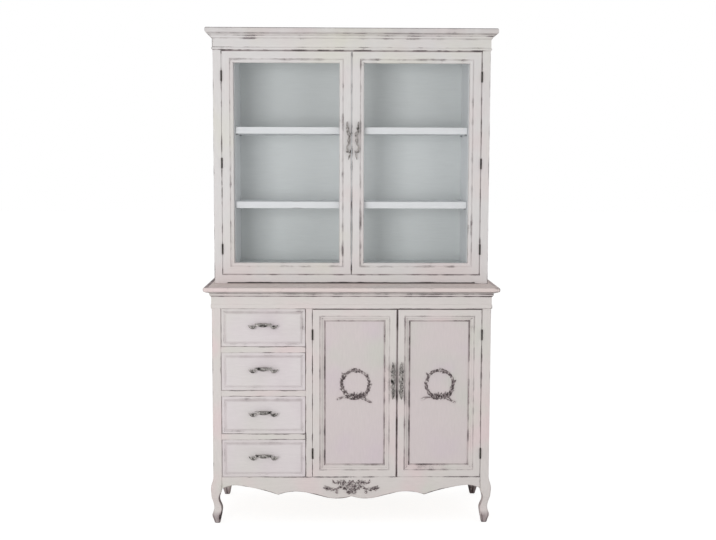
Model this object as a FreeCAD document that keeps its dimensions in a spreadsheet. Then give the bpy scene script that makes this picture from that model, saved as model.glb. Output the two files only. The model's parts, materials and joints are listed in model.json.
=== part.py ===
import FreeCAD, Part

import math
import os

import Sketcher

# Dresser with hutch: a buffet with four drawers and a two-door cupboard on cabriole legs, and on it a
# shallow glazed cabinet with two doors. Millimetres. X runs to the right, Y to the back and Z up; the
# origin lies on the floor, under the middle of the dresser.

document = FreeCAD.newDocument("dresser_with_hutch")

# ---------------------------------------------------------------------------------------------------
# Driving dimensions
# ---------------------------------------------------------------------------------------------------

DIMENSIONS = [
    # alias, millimetres, what it is
    ("top_depth", 470, "buffet top, front to back"),
    ("top_side_overhang", 32, "buffet top past each side of the case"),
    ("top_thickness", 18, "buffet top board"),
    ("top_nose", 8, "rounding of the buffet top's front and side edges"),
    ("top_overhang", 30, "buffet top past the front of the case"),
    ("buffet_height", 990, "floor to the buffet top's upper face"),
    ("case_width", 1146, "buffet case, left to right"),
    ("post_size", 36, "square post of a leg"),
    ("board", 18, "side panels, floors and partition"),
    ("back_board", 8, "back panels"),
    ("rail_depth", 22, "front rails and stiles, front to back"),
    ("panel_inset", 3, "side panel behind the outer face of the posts"),
    ("opening_low", 196, "lower edge of the drawer and door openings, above the floor"),
    ("buffet_frieze", 70, "drawer and door openings to the buffet top's underside"),
    ("drawer_opening", 348, "width of the drawer openings"),
    ("drawer_rail", 24, "rail between two drawers, height"),
    ("drawer_rail_depth", 40, "rail between two drawers, front to back"),
    ("centre_stile", 27, "stile between drawers and cupboard, width"),
    ("bead_height", 14, "bead moulding"),
    ("bead_radius", 7.6, "rounding of the bead moulding"),
    ("cove_height", 30, "cove moulding under a top board"),
    ("cove_step", 17, "height of the step between the two hollows of the cove"),
    ("cove_step_reach", 18, "how far the upper hollow starts from the case"),
    ("cove_reach", 26, "how far the cove reaches from the case"),
    ("cove_lower_reach", 12, "how far the lower hollow reaches from the case"),
    ("cove_radius", 16, "radius of both hollows of the cove"),
    ("apron_corner", 146, "apron's lower edge at the posts, above the floor"),
    ("apron_shoulder", 159.8, "apron's lower edge at the shoulder"),
    ("apron_shoulder_at", 67, "shoulder from the post"),
    ("apron_cusp", 120, "apron's cusp above the floor"),
    ("apron_cusp_at", 233, "cusp from the post"),
    ("apron_fall", 129, "apron's lower edge where the hollow past the cusp ends"),
    ("apron_fall_at", 352, "end of that hollow, from the post"),
    ("apron_belly", 114, "apron's lower edge where the lobe starts to swell"),
    ("apron_belly_at", 412, "start of the lobe's swelling, from the post"),
    ("apron_lobe", 103.4, "lowest edge of the apron"),
    ("apron_lobe_at", 58, "lowest edge from the middle"),
    ("apron_notch", 113, "notch in the middle of the apron"),
    ("apron_shoulder_radius", 107, "hollow between post and shoulder"),
    ("apron_slope_radius", 800, "hollow between shoulder and cusp"),
    ("apron_rise_radius", 212, "hollow past the cusp"),
    ("apron_belly_radius", 212, "swelling at the side of a lobe"),
    ("apron_notch_radius", 173, "swelling between lobe and notch"),
    ("side_apron_corner", 140, "side apron's lower edge at the posts, above the floor"),
    ("side_apron_radius", 700, "hollow of a side apron's lower edge"),
    ("leg_shoulder", 190, "height at which the post starts to swell into the knee"),
    ("rear_leg_depth", 31, "most that a rear leg's foot measures front to back"),
    ("carving_width", 246, "carved spray on the apron"),
    ("carving_height", 66, "carved spray on the apron"),
    ("carving_relief", 9, "how far the carved spray stands off the apron"),
    ("drawer_gap", 1.5, "gap round drawer fronts and doors"),
    ("drawer_front", 22, "drawer front, thickness"),
    ("field_margin", 16, "flat margin round a drawer front's raised field"),
    ("field_relief", 4, "how far the field stands off its margin"),
    ("field_bevel", 3, "bevel round the raised field"),
    ("drawer_side", 12, "sides and back of a drawer"),
    ("drawer_bottom", 6, "bottom of a drawer"),
    ("drawer_length", 385, "drawer's front face to its back"),
    ("drawer_headroom", 22, "drawer side below the top of its opening"),
    ("running_gap", 0.4, "drawer side to runner and to guide"),
    ("runner_height", 18, "runner under a drawer side"),
    ("runner_reach", 16, "runner's reach under the drawer side"),
    ("guide_height", 30, "guide beside a drawer side, above the runner"),
    ("bottom_lift", 8, "drawer bottom above the lower edge of the sides"),
    ("door_thickness", 22, "buffet and hutch doors"),
    ("meeting_gap", 3, "gap between the two doors of a pair"),
    ("hinge_gap", 2, "gap between a door and the stile that carries it"),
    ("door_frame", 31, "flat stiles and rails of a buffet door"),
    ("door_moulding", 20, "moulding inside a buffet door's frame"),
    ("door_moulding_bevel", 10, "bevel of the moulding in a buffet door"),
    ("moulding_depth", 11, "depth of a door's mouldings, from its front face"),
    ("panel_thickness", 10, "panel of a buffet door"),
    ("panel_gap", 1, "room for a panel or pane inside its frame"),
    ("hutch_depth", 297, "hutch, front face to back"),
    ("hutch_side_reach", 3, "hutch past each side of the buffet's case"),
    ("hutch_stile", 34, "hutch face stile, width"),
    ("hutch_height", 1060, "buffet top to the top of the cornice"),
    ("cornice_thickness", 22, "cornice board"),
    ("cornice_reach", 31.5, "cornice board past the front of the hutch"),
    ("cornice_side_reach", 28.5, "cornice board past each side of the hutch"),
    ("cornice_nose", 6, "rounding of the cornice board's edges"),
    ("hutch_sill", 37, "lower edge of the hutch door opening above the buffet top"),
    ("hutch_frieze", 68, "upper edge of the hutch door opening to the cornice board"),
    ("hutch_foot_gap", 5, "shadow gap under the hutch's bottom rail"),
    ("hutch_foot", 20, "foot at each end of the bottom rail"),
    ("glass_frame", 38, "flat stiles and rails of a hutch door"),
    ("glass_moulding", 12, "moulding inside a hutch door's frame"),
    ("glass_moulding_bevel", 7, "bevel of the moulding in a hutch door"),
    ("glass_thickness", 3, "pane"),
    ("glazing_bead", 8, "bead behind the pane, width"),
    ("glazing_bead_depth", 7, "bead behind the pane, front to back"),
    ("lining_inset", 70, "hutch side's inner face to the inner face of its lining"),
    ("lining_setback", 2, "lining and shelves behind the back of the doors"),
    ("hutch_floor_height", 76, "upper face of the hutch floor above the buffet top"),
    ("hutch_top_lift", 8, "hutch's top board above the upper edge of the door opening"),
    ("bearer_depth", 30, "bearer under the front of the hutch floor"),
    ("shelf_thickness", 28, "hutch shelves"),
    ("lower_shelf_height", 344, "upper face of the hutch's lower shelf above the buffet top"),
    ("upper_shelf_height", 656, "upper face of the hutch's upper shelf above the buffet top"),
    ("shelf_end_gap", 1.5, "shelf end to lining"),
    ("shelf_setback", 8, "hutch shelf behind the front of the lining"),
    ("pin_radius", 2.5, "shelf pin"),
    ("pin_length", 20, "shelf pin"),
    ("pin_fit", 0.05, "shelf pin to its hole, radial clearance"),
    ("pin_sunk", 11, "depth of a shelf pin in the lining"),
    ("pin_from_edge", 45, "shelf pin from the front and back of the lining"),
    ("cupboard_shelf_height", 360, "upper face of the cupboard shelf above the cupboard floor"),
    ("cupboard_shelf_setback", 45, "cupboard shelf behind the doors"),
    ("cleat", 16, "shelf cleat, width and height"),
    ("door_stop", 8, "strip on the cupboard floor that the doors close on"),
    ("hinge_height", 44, "butt hinge"),
    ("hinge_leaf", 0.9, "hinge leaf, thickness"),
    ("hinge_leaf_depth", 18, "hinge leaf, into the gap"),
    ("knuckle_radius", 3.2, "hinge knuckle"),
    ("hinge_pin_radius", 1.5, "hinge pin"),
    ("hinge_fit", 0.05, "hinge pin to knuckle, radial clearance"),
    ("knuckle_gap", 0.3, "between two knuckles, and between knuckle and door"),
    ("buffet_hinge_from_top", 108, "centre of the upper hinges below their opening's upper edge"),
    ("buffet_hinge_from_foot", 100, "centre of the lower hinges above their opening's lower edge"),
    ("hutch_hinge_from_top", 106, "centre of the upper hinges below their opening's upper edge"),
    ("hutch_hinge_from_foot", 108, "centre of the lower hinges above their opening's lower edge"),
    ("pull_spread", 96, "distance between the two posts of a pull"),
    ("pull_post_radius", 3.5, "post of a pull"),
    ("pull_standoff", 15, "bar of a pull in front of what it is screwed to"),
    ("pull_bar", 7, "bar of a pull, front to back"),
    ("drawer_pull_width", 126, "drawer pull, tip to tip"),
    ("drawer_pull_rise", 12, "drawer pull, middle of the bow above its centre"),
    ("drawer_pull_dip", 13, "drawer pull, dips below its centre"),
    ("drawer_pull_band", 9, "drawer pull, thickness of its band"),
    ("drawer_pull_lift", 11, "drawer pull above the middle of its drawer"),
    ("door_pull_height", 156, "door pull, tip to tip"),
    ("door_pull_width", 20, "door pull, across"),
    ("door_pull_waist", 7, "door pull, across its narrowest stretches"),
    ("buffet_pull_inset", 15, "buffet door pull from the door's edge"),
    ("hutch_pull_inset", 16, "hutch door pull from the door's edge"),
    ("buffet_pull_drop", 302, "centre of the buffet door pulls below their opening's upper edge"),
    ("hutch_pull_drop", 371, "centre of the hutch door pulls below their opening's upper edge"),
    ("pull_boss_radius", 8, "boss in the middle of a hutch door pull"),
    ("wreath_radius", 58, "wreath, middle of its band"),
    ("wreath_band", 8, "wreath, half the width of its band"),
    ("wreath_drop", 311, "centre of a wreath below its door opening's upper edge"),
    ("wreath_tail", 66, "stem tail of a wreath"),
    ("wreath_tail_thickness", 9, "stem tail of a wreath"),
    ("wreath_tail_at", 46, "middle of a stem tail beside the middle of its wreath"),
    ("wreath_tail_drop", 64, "middle of a stem tail under the middle of its wreath"),
]

# Cabriole leg, from the floor up: height above the floor, half its width, how far its middle lies
# outside the middle of the post.
LEG_SECTIONS = [
    ("toe", 0, 9.5, 0.8),
    ("toe_edge", 5, 11.3, 0.7),
    ("hoof", 20, 16, 1.5),
    ("hoof_swell", 37, 19.8, 1.4),
    ("ankle", 63, 16.8, -3.8),
    ("shin", 95, 15, 3.4),
    ("calf", 113, 17.2, 6.8),
    ("knee", 146, 22.6, 5.6),
    ("thigh", 168, 20.5, 3.3),
]
LEG_ROUNDING = 0.3  # of half a section's depth
WREATH_TAIL_SLOPE = 28  # degrees
TOLERANCE = 0.01  # millimetres, to find an edge by its place

# Leaves of one half of the carved spray, as shares of the spray's half width, half height and relief:
# where a leaf's middle lies (outwards, upwards), half its length, half its width, its depth; and its
# slope in degrees, positive where it falls outwards on the right half.
CARVED_LEAVES = [
    ("bud", 0.3, 0.35, 0.26, 0.5, 0.8, -12),
    ("spray", 0.62, -0.1, 0.38, 0.34, 0.7, 8),
    ("curl", 0.2, -0.55, 0.2, 0.4, 0.7, -25),
]

sheet = document.addObject("Spreadsheet::Sheet", "Sizes")


class Size:
    """A length that knows its number and the formula that gives it from the sheet's cells."""

    def __init__(self, number, formula):
        self.number = float(number)
        self.formula = formula

    def __add__(self, other):
        other = as_size(other)
        return Size(self.number + other.number, f"({self.formula} + {other.formula})")

    def __sub__(self, other):
        other = as_size(other)
        return Size(self.number - other.number, f"({self.formula} - {other.formula})")

    def __mul__(self, factor):
        return Size(self.number * factor, f"({self.formula} * {factor})")

    def __truediv__(self, divisor):
        return Size(self.number / divisor, f"({self.formula} / {divisor})")

    def __neg__(self):
        return Size(-self.number, f"(0 - {self.formula})")


def as_size(value):
    return value if isinstance(value, Size) else Size(value, str(value))


class Sizes:
    """The sheet's cells by their aliases."""


def fill_sheet():
    """Write every driving dimension to the sheet and return them by name."""
    rows = list(DIMENSIONS)
    for section, height, half, outward in LEG_SECTIONS:
        rows.append((f"{section}_height", height, f"leg, {section}: height above the floor"))
        rows.append((f"{section}_half", half, f"leg, {section}: half its width"))
        rows.append((f"{section}_outward", outward, f"leg, {section}: outwards from the post"))
    for row, (alias, number, meaning) in enumerate(rows, start=1):
        sheet.set(f"A{row}", alias)
        sheet.set(f"B{row}", str(number))
        sheet.set(f"C{row}", meaning)
        sheet.setAlias(f"B{row}", alias)
    document.recompute()
    sizes = Sizes()
    for alias, number, meaning in rows:
        setattr(sizes, alias, Size(sheet.get(alias), f"Sizes.{alias}"))
    return sizes


s = fill_sheet()
zero = as_size(0)

# ---------------------------------------------------------------------------------------------------
# Ways to make a piece
# ---------------------------------------------------------------------------------------------------


def bind(thing, path, size):
    thing.setExpression(path, as_size(size).formula)


def place(thing, x=zero, y=zero, z=zero):
    """Bind a piece's place."""
    for axis, size in (("x", x), ("y", y), ("z", z)):
        bind(thing, f"Placement.Base.{axis}", size)


def board(name, x, y, z):
    """A plain board from three pairs of low and high faces."""
    box = document.addObject("Part::Box", name)
    for edge, (low, high) in (("Length", x), ("Width", y), ("Height", z)):
        bind(box, edge, high - low)
    place(box, x[0], y[0], z[0])
    return box


def draw(sketch, corners):
    """Draw a closed outline, counter-clockwise, through corners (across, up). A corner with a third
    value starts an arc of that radius: positive hollows the outline, negative swells it."""
    ends = []
    for number, corner in enumerate(corners):
        following = corners[(number + 1) % len(corners)]
        start = FreeCAD.Vector(corner[0].number, corner[1].number, 0)
        end = FreeCAD.Vector(following[0].number, following[1].number, 0)
        if len(corner) == 2:
            ends.append((sketch.addGeometry(Part.LineSegment(start, end), False), 1, 2))
            continue
        radius = corner[2] if corner[2].number > 0 else -corner[2]
        hollow = corner[2].number > 0
        chord = end - start
        rise = math.sqrt(radius.number ** 2 - (chord.Length / 2) ** 2)
        inward = FreeCAD.Vector(-chord.y, chord.x, 0).normalize()
        centre = (start + end) * 0.5 + inward * (-rise if hollow else rise)
        first, last = (end, start) if hollow else (start, end)
        first_angle = math.atan2(first.y - centre.y, first.x - centre.x)
        last_angle = math.atan2(last.y - centre.y, last.x - centre.x)
        if last_angle < first_angle:
            last_angle += 2 * math.pi
        circle = Part.Circle(centre, FreeCAD.Vector(0, 0, 1), radius.number)
        arc = sketch.addGeometry(Part.ArcOfCircle(circle, first_angle, last_angle), False)
        ends.append((arc, 2, 1) if hollow else (arc, 1, 2))
        fixed = sketch.addConstraint(Sketcher.Constraint("Radius", arc, radius.number))
        bind(sketch, f"Constraints[{fixed}]", radius)
    for number, (line, start, end) in enumerate(ends):
        before, before_start, before_end = ends[number - 1]
        sketch.addConstraint(Sketcher.Constraint("Coincident", before, before_end, line, start))
        for kind, size in zip(("DistanceX", "DistanceY"), corners[number]):
            fixed = sketch.addConstraint(Sketcher.Constraint(kind, -1, 1, line, start, size.number))
            bind(sketch, f"Constraints[{fixed}]", size)


def attach(body, sketch, plane, low, high):
    """Put a sketch on one of its body's own planes, at the side that a pad grows from."""
    for feature in body.Origin.OriginFeatures:
        if feature.Role == f"{plane}_Plane":
            sketch.AttachmentSupport = (feature, [""])
    sketch.MapMode = "FlatFace"
    bind(sketch, "AttachmentOffset.Base.z", -high if plane == "XZ" else low)


def prism(name, plane, corners, low, high):
    """A body padded from an outline on plane XY, XZ or YZ, between two places along its normal."""
    body = document.addObject("PartDesign::Body", name)
    sketch = body.newObject("Sketcher::SketchObject", f"{name}_outline")
    attach(body, sketch, plane, low, high)
    draw(sketch, corners)
    pad = body.newObject("PartDesign::Pad", f"{name}_pad")
    pad.Profile = sketch
    bind(pad, "Length", high - low)
    return body


def rectangle(x, y):
    return [(x[0], y[0]), (x[1], y[0]), (x[1], y[1]), (x[0], y[1])]


def edges_where(shape, is_wanted):
    return [f"Edge{number}" for number, edge in enumerate(shape.Edges, start=1) if is_wanted(edge)]


def dress_edges(body, kind, is_wanted, size):
    """Fillet or chamfer the edges of a body's last feature that is_wanted picks."""
    document.recompute()
    last = body.Tip
    feature = body.newObject(f"PartDesign::{kind}", f"{body.Name}_{kind.lower()}")
    feature.Base = (last, edges_where(last.Shape, is_wanted))
    bind(feature, "Radius" if kind == "Fillet" else "Size", size)
    return feature


def near(number, size):
    return abs(number - size.number) < TOLERANCE


def pin(name, radius, length, x, y, z, axis="Z"):
    """A round pin that starts at x, y, z and runs along an axis."""
    cylinder = document.addObject("Part::Cylinder", name)
    bind(cylinder, "Radius", radius)
    bind(cylinder, "Height", length)
    turns = {"Z": (FreeCAD.Vector(0, 0, 1), 0), "X": (FreeCAD.Vector(0, 1, 0), 90)}
    turns["-Y"] = (FreeCAD.Vector(1, 0, 0), 90)
    cylinder.Placement = FreeCAD.Placement(FreeCAD.Vector(), FreeCAD.Rotation(*turns[axis]))
    place(cylinder, x, y, z)
    return cylinder


def mirrored(piece):
    """The same piece on the other side of the dresser's middle."""
    mirror = document.addObject("Part::Mirroring", f"{piece.Name}_mirrored")
    mirror.Source = piece
    mirror.Normal = FreeCAD.Vector(1, 0, 0)
    return mirror


def cut(name, piece, tool):
    result = document.addObject("Part::Cut", name)
    result.Base = piece
    result.Tool = tool
    return result


def fuse(name, pieces):
    result = document.addObject("Part::MultiFuse", name)
    result.Shapes = pieces
    return result


def common(name, piece, tool):
    result = document.addObject("Part::MultiCommon", name)
    result.Shapes = [piece, tool]
    return result


def gathered(name, pieces):
    """Separate solids kept in one compound."""
    result = document.addObject("Part::Compound", name)
    result.Links = pieces
    return result


def copy_at(name, piece, x=zero, y=zero, z=zero):
    """A copy of a piece that is moved but not turned."""
    link = document.addObject("App::Link", name)
    link.LinkedObject = piece
    link.LinkTransform = True
    place(link, x, y, z)
    return link


nodes = {}


def node(name, *pieces):
    """Hand a sub-part in: one piece, or separate like pieces together."""
    piece = pieces[0] if len(pieces) == 1 else gathered(f"{name}_set", list(pieces))
    piece.Label = name
    nodes[name] = piece
    return piece


# ---------------------------------------------------------------------------------------------------
# Places that several pieces share
# ---------------------------------------------------------------------------------------------------

back = s.top_depth / 2
case_half = s.case_width / 2
case_front = s.top_overhang - s.top_depth / 2
rail_back = case_front + s.rail_depth
post_inner = case_half - s.post_size
front_post_back = case_front + s.post_size
rear_post_front = back - s.post_size
side_outer = case_half - s.panel_inset
side_inner = side_outer - s.board
back_face = back - s.back_board
top_underside = s.buffet_height - s.top_thickness
opening_high = top_underside - s.buffet_frieze

drawers_left = -post_inner
drawers_right = drawers_left + s.drawer_opening
cupboard_left = drawers_right + s.centre_stile
cupboard_right = post_inner
partition_middle = drawers_right + s.centre_stile / 2
partition_left = partition_middle - s.board / 2
partition_right = partition_middle + s.board / 2

hutch_front = back - s.hutch_depth
hutch_rail_back = hutch_front + s.rail_depth
hutch_half = case_half + s.hutch_side_reach
hutch_opening_half = hutch_half - s.hutch_stile
hutch_side_inner = hutch_half - s.board
total_height = s.buffet_height + s.hutch_height
hutch_case_top = total_height - s.cornice_thickness
hutch_opening_low = s.buffet_height + s.hutch_sill
hutch_opening_high = hutch_case_top - s.hutch_frieze
hutch_floor = s.buffet_height + s.hutch_floor_height
hutch_ceiling = hutch_opening_high + s.hutch_top_lift
hutch_door_back = hutch_front + s.door_thickness
lining_front = hutch_door_back + s.lining_setback
lining_inner = hutch_side_inner - s.lining_inset

# ---------------------------------------------------------------------------------------------------
# Mouldings that run round the front and both sides
# ---------------------------------------------------------------------------------------------------


def mitred_run(name, profile, half, front, reach):
    """A moulding round three sides of a case: front, left and right lengths, mitred at the corners.
    profile gives (distance from the case, height) corners, counter-clockwise seen from the right of
    the front length, where the front faces left."""
    across = [(-corner[0], *corner[1:]) for corner in profile]
    front_length = prism(f"{name}_front", "YZ", [(front + corner[0], *corner[1:]) for corner in across],
                         -half - reach, half + reach)
    side_profile = [(-half + corner[0], *corner[1:]) for corner in across]
    side_length = prism(f"{name}_side", "XZ", side_profile, front - reach, back)
    highest = max(profile, key=lambda corner: corner[1].number)[1]
    lowest = min(profile, key=lambda corner: corner[1].number)[1]
    corner_waste = [(-half - reach, front - reach), (-half, front), (-half - reach, front)]
    beyond = prism(f"{name}_mitre", "XY", corner_waste, lowest, highest)
    front_waste = gathered(f"{name}_front_waste", [beyond, mirrored(beyond)])
    front_piece = cut(f"{name}_front_mitred", front_length, front_waste)
    side_waste_outline = [(-half - reach, front - reach), (-half, front - reach), (-half, front)]
    side_waste = prism(f"{name}_side_mitre", "XY", side_waste_outline, lowest, highest)
    side_piece = cut(f"{name}_side_mitred", side_length, side_waste)
    return [front_piece, side_piece, mirrored(side_piece)]


def cove_profile(top):
    """Two hollows, one above the other, with a small step between them."""
    low = top - s.cove_height
    step = top - s.cove_step
    return [
        (zero, low),
        (zero, top),
        (s.cove_reach, top, s.cove_radius),
        (s.cove_step_reach, step),
        (s.cove_lower_reach, step, s.cove_radius),
    ]


def bead_profile(low):
    high = low + s.bead_height
    return [(zero, low), (zero, high, -s.bead_radius)]


# ---------------------------------------------------------------------------------------------------
# Buffet
# ---------------------------------------------------------------------------------------------------


def nosed_board(name, half, front, low, high, nose):
    """A board with rounded front and side edges."""
    body = prism(name, "XY", rectangle((-half, half), (front, back)), low, high)

    def is_nose(edge):
        box = edge.BoundBox
        level = box.ZLength < TOLERANCE
        at_back = near(box.YMin, back)
        return level and not at_back

    dress_edges(body, "Fillet", is_nose, nose)
    return body


def make_buffet_top():
    half = case_half + s.top_side_overhang
    top = nosed_board("buffet_top_board", half, -back, top_underside, s.buffet_height, s.top_nose)
    node("buffet_top", top)
    cove = mitred_run("buffet_cove", cove_profile(top_underside), case_half, case_front, s.cove_reach)
    bead = mitred_run("buffet_bead", bead_profile(opening_high), case_half, case_front, s.bead_height)
    node("buffet_mouldings", *cove, *bead)


def leg_shape(forward):
    """Post and cabriole foot of a left leg, in one. Forward says how much it swells to the front."""
    wires = []
    post_x = -(case_half - s.post_size / 2).number
    post_y = (case_front + s.post_size / 2).number if forward else (back - s.post_size / 2).number
    sections = []
    for section, *rest in LEG_SECTIONS:
        height = getattr(s, f"{section}_height").number
        half = getattr(s, f"{section}_half").number
        outward = getattr(s, f"{section}_outward").number
        sections.append((height, half, outward))
    sections.append((s.leg_shoulder.number, s.post_size.number / 2, 0.0))
    # a rear leg swells only to the side, so that the dresser can stand against a wall
    deepest = s.post_size.number if forward else s.rear_leg_depth.number / 2
    for height, half, outward in sections:
        middle = FreeCAD.Vector(post_x - outward, post_y - outward * forward, height)
        half_depth = min(half, deepest)
        wires.append(rounded_rectangle(middle, half, half_depth, half_depth * LEG_ROUNDING))
    foot = Part.makeLoft(wires, True, False)
    size = s.post_size.number
    post = Part.makeBox(size, size, top_underside.number - s.leg_shoulder.number)
    post.translate(FreeCAD.Vector(post_x - size / 2, post_y - size / 2, s.leg_shoulder.number))
    return foot.fuse(post).removeSplitter()


def rounded_rectangle(middle, half_x, half_y, radius):
    """A level rectangular wire with rounded corners."""
    edges = []
    turned = [(1, 1), (-1, 1), (-1, -1), (1, -1)]
    points = []
    for x_side, y_side in turned:
        corner = middle + FreeCAD.Vector(x_side * (half_x - radius), y_side * (half_y - radius), 0)
        slant = radius * math.sqrt(0.5)
        first = FreeCAD.Vector(radius * x_side, 0, 0)
        last = FreeCAD.Vector(0, radius * y_side, 0)
        if x_side * y_side < 0:
            first, last = last, first
        bow = FreeCAD.Vector(slant * x_side, slant * y_side, 0)
        points.append((corner + first, corner + bow, corner + last))
    for number, (first, bow, last) in enumerate(points):
        edges.append(Part.Arc(first, bow, last).toShape())
        edges.append(Part.LineSegment(last, points[(number + 1) % 4][0]).toShape())
    return Part.Wire(edges)


def make_legs():
    for name, forward in (("front", 1), ("rear", 0)):
        leg = document.addObject("Part::Feature", f"{name}_left_leg_shape")
        leg.Shape = leg_shape(forward)
        node(f"{name}_left_leg", leg)
        node(f"{name}_right_leg", mirrored(leg))


def make_buffet_sides():
    between_posts = (front_post_back, rear_post_front)
    panel_low = s.opening_low
    panel = board("side_panel", (-side_outer, -side_inner), between_posts, (panel_low, opening_high))
    node("buffet_side_panels", panel, mirrored(panel))
    rail = board("side_top_rail", (-case_half, -side_inner), between_posts, (opening_high, top_underside))
    y_low, y_high = between_posts
    outline = [(y_low, s.side_apron_corner, s.side_apron_radius), (y_high, s.side_apron_corner)]
    outline += [(y_high, panel_low), (y_low, panel_low)]
    apron = prism("side_apron", "YZ", outline, -case_half, -side_inner)
    node("side_rails_and_aprons", rail, mirrored(rail), apron, mirrored(apron))


def make_buffet_front():
    front = (case_front, rail_back)
    top_rail = board("top_rail", (-post_inner, post_inner), front, (opening_high, top_underside))
    rails = [top_rail]
    for number in range(1, 4):
        low = drawer_low(number + 1) - s.drawer_rail
        depth = (case_front, case_front + s.drawer_rail_depth)
        height = (low, low + s.drawer_rail)
        rails.append(board(f"drawer_rail_{number}", (drawers_left, drawers_right), depth, height))
    node("front_rails", *rails)
    stile = board("stile", (drawers_right, cupboard_left), front, (s.opening_low, opening_high))
    node("centre_stile", stile)
    make_apron()


def drawer_height():
    """Height of each of the four equal drawer openings."""
    return (opening_high - s.opening_low - s.drawer_rail * 3) / 4


def drawer_low(number):
    """Lower edge of a drawer's opening; drawer 1 is the lowest."""
    return s.opening_low + (drawer_height() + s.drawer_rail) * (number - 1)


def make_apron():
    """The front apron: shoulders at the posts, two cusps, and a double lobe in the middle."""
    shoulder = post_inner - s.apron_shoulder_at
    cusp = post_inner - s.apron_cusp_at
    fall = post_inner - s.apron_fall_at
    belly = post_inner - s.apron_belly_at
    right_edge = [
        (s.apron_lobe_at, s.apron_lobe, -s.apron_belly_radius),
        (belly, s.apron_belly),
        (fall, s.apron_fall, s.apron_rise_radius),
        (cusp, s.apron_cusp, s.apron_slope_radius),
        (shoulder, s.apron_shoulder, s.apron_shoulder_radius),
        (post_inner, s.apron_corner),
    ]
    left_edge = [
        (-post_inner, s.apron_corner, s.apron_shoulder_radius),
        (-shoulder, s.apron_shoulder, s.apron_slope_radius),
        (-cusp, s.apron_cusp, s.apron_rise_radius),
        (-fall, s.apron_fall),
        (-belly, s.apron_belly, -s.apron_belly_radius),
        (-s.apron_lobe_at, s.apron_lobe, -s.apron_notch_radius),
    ]
    notch = [(zero, s.apron_notch, -s.apron_notch_radius)]
    top_edge = [(post_inner, s.opening_low), (-post_inner, s.opening_low)]
    outline = left_edge + notch + right_edge + top_edge
    node("front_apron", prism("apron", "XZ", outline, case_front, rail_back))
    make_carving()


def leaf(name, x, y, z, half_length, half_width, half_depth, turn=0):
    """A swelling leaf form, flat side down on a front face: an ellipsoid turned in that face."""
    form = document.addObject("Part::Ellipsoid", name)
    bind(form, "Radius1", half_depth)
    bind(form, "Radius2", half_length)
    bind(form, "Radius3", half_width)
    # its first radius points to the front, its second along the leaf
    upright = FreeCAD.Rotation(FreeCAD.Vector(0, 0, 1), FreeCAD.Vector(0, -1, 0))
    turned = FreeCAD.Rotation(FreeCAD.Vector(0, 1, 0), -turn) * upright
    form.Placement = FreeCAD.Placement(FreeCAD.Vector(), turned)
    place(form, x, y, z)
    return form


def relief(name, forms, x, face, z, depth):
    """What stands in front of a face, of several forms that are fused."""
    front_half = board(f"{name}_front_half", x, (face - depth, face), z)
    return common(name, fuse(f"{name}_forms", forms), front_half)


def make_carving():
    """Low spray of leaves with a rosette in the middle, on the apron."""
    middle = (s.apron_notch + s.opening_low) / 2
    length = s.carving_width / 2
    rise = s.carving_height / 2
    forms = [leaf("carved_rosette", zero, case_front, middle, rise, rise, s.carving_relief)]
    for side in (-1, 1):
        place_name = "left" if side < 0 else "right"
        for form, across, up, half_length, half_width, depth, turn in CARVED_LEAVES:
            spot = (length * across * side, case_front, middle + rise * up)
            size = (length * half_length, rise * half_width, s.carving_relief * depth)
            forms.append(leaf(f"carved_{form}_{place_name}", *spot, *size, turn * side))
    spray = relief("carved_spray", forms, (-length, length), case_front,
                   (middle - rise, middle + rise), s.carving_relief)
    node("apron_carving", spray)


def make_buffet_inside():
    notch = s.panel_inset + s.board
    inner = side_inner
    outline = [
        (-post_inner, rail_back), (post_inner, rail_back), (post_inner, front_post_back),
        (inner, front_post_back), (inner, rear_post_front), (post_inner, rear_post_front),
        (post_inner, back_face), (-post_inner, back_face), (-post_inner, rear_post_front),
        (-inner, rear_post_front), (-inner, front_post_back), (-post_inner, front_post_back),
    ]
    floor = prism("floor", "XY", outline, s.opening_low - s.board, s.opening_low)
    node("buffet_floor", floor)
    depth = (rail_back, back_face)
    wall = board("partition", (partition_left, partition_right), depth, (s.opening_low, top_underside))
    node("buffet_partition", wall)
    back_low = s.opening_low - s.board
    rear = board("back", (-post_inner, post_inner), (back_face, back), (back_low, top_underside))
    node("buffet_back_panel", rear)
    shelf_top = s.opening_low + s.cupboard_shelf_height
    shelf_low = shelf_top - s.board
    shelf_front = case_front + s.door_thickness + s.cupboard_shelf_setback
    shelf_depth = (shelf_front, rear_post_front)
    shelf = board("shelf", (partition_right, side_inner), shelf_depth, (shelf_low, shelf_top))
    node("cupboard_shelf", shelf)
    cleat_height = (shelf_low - s.cleat, shelf_low)
    left_cleat = board("left_cleat", (partition_right, partition_right + s.cleat), shelf_depth, cleat_height)
    right_cleat = board("right_cleat", (side_inner - s.cleat, side_inner), shelf_depth, cleat_height)
    stop_front = case_front + s.door_thickness + s.running_gap
    stop = board("door_stop", (cupboard_left, post_inner), (stop_front, stop_front + s.door_stop),
                 (s.opening_low, s.opening_low + s.door_stop))
    node("shelf_cleats_and_door_stop", left_cleat, right_cleat, stop)
    make_runners()


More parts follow.
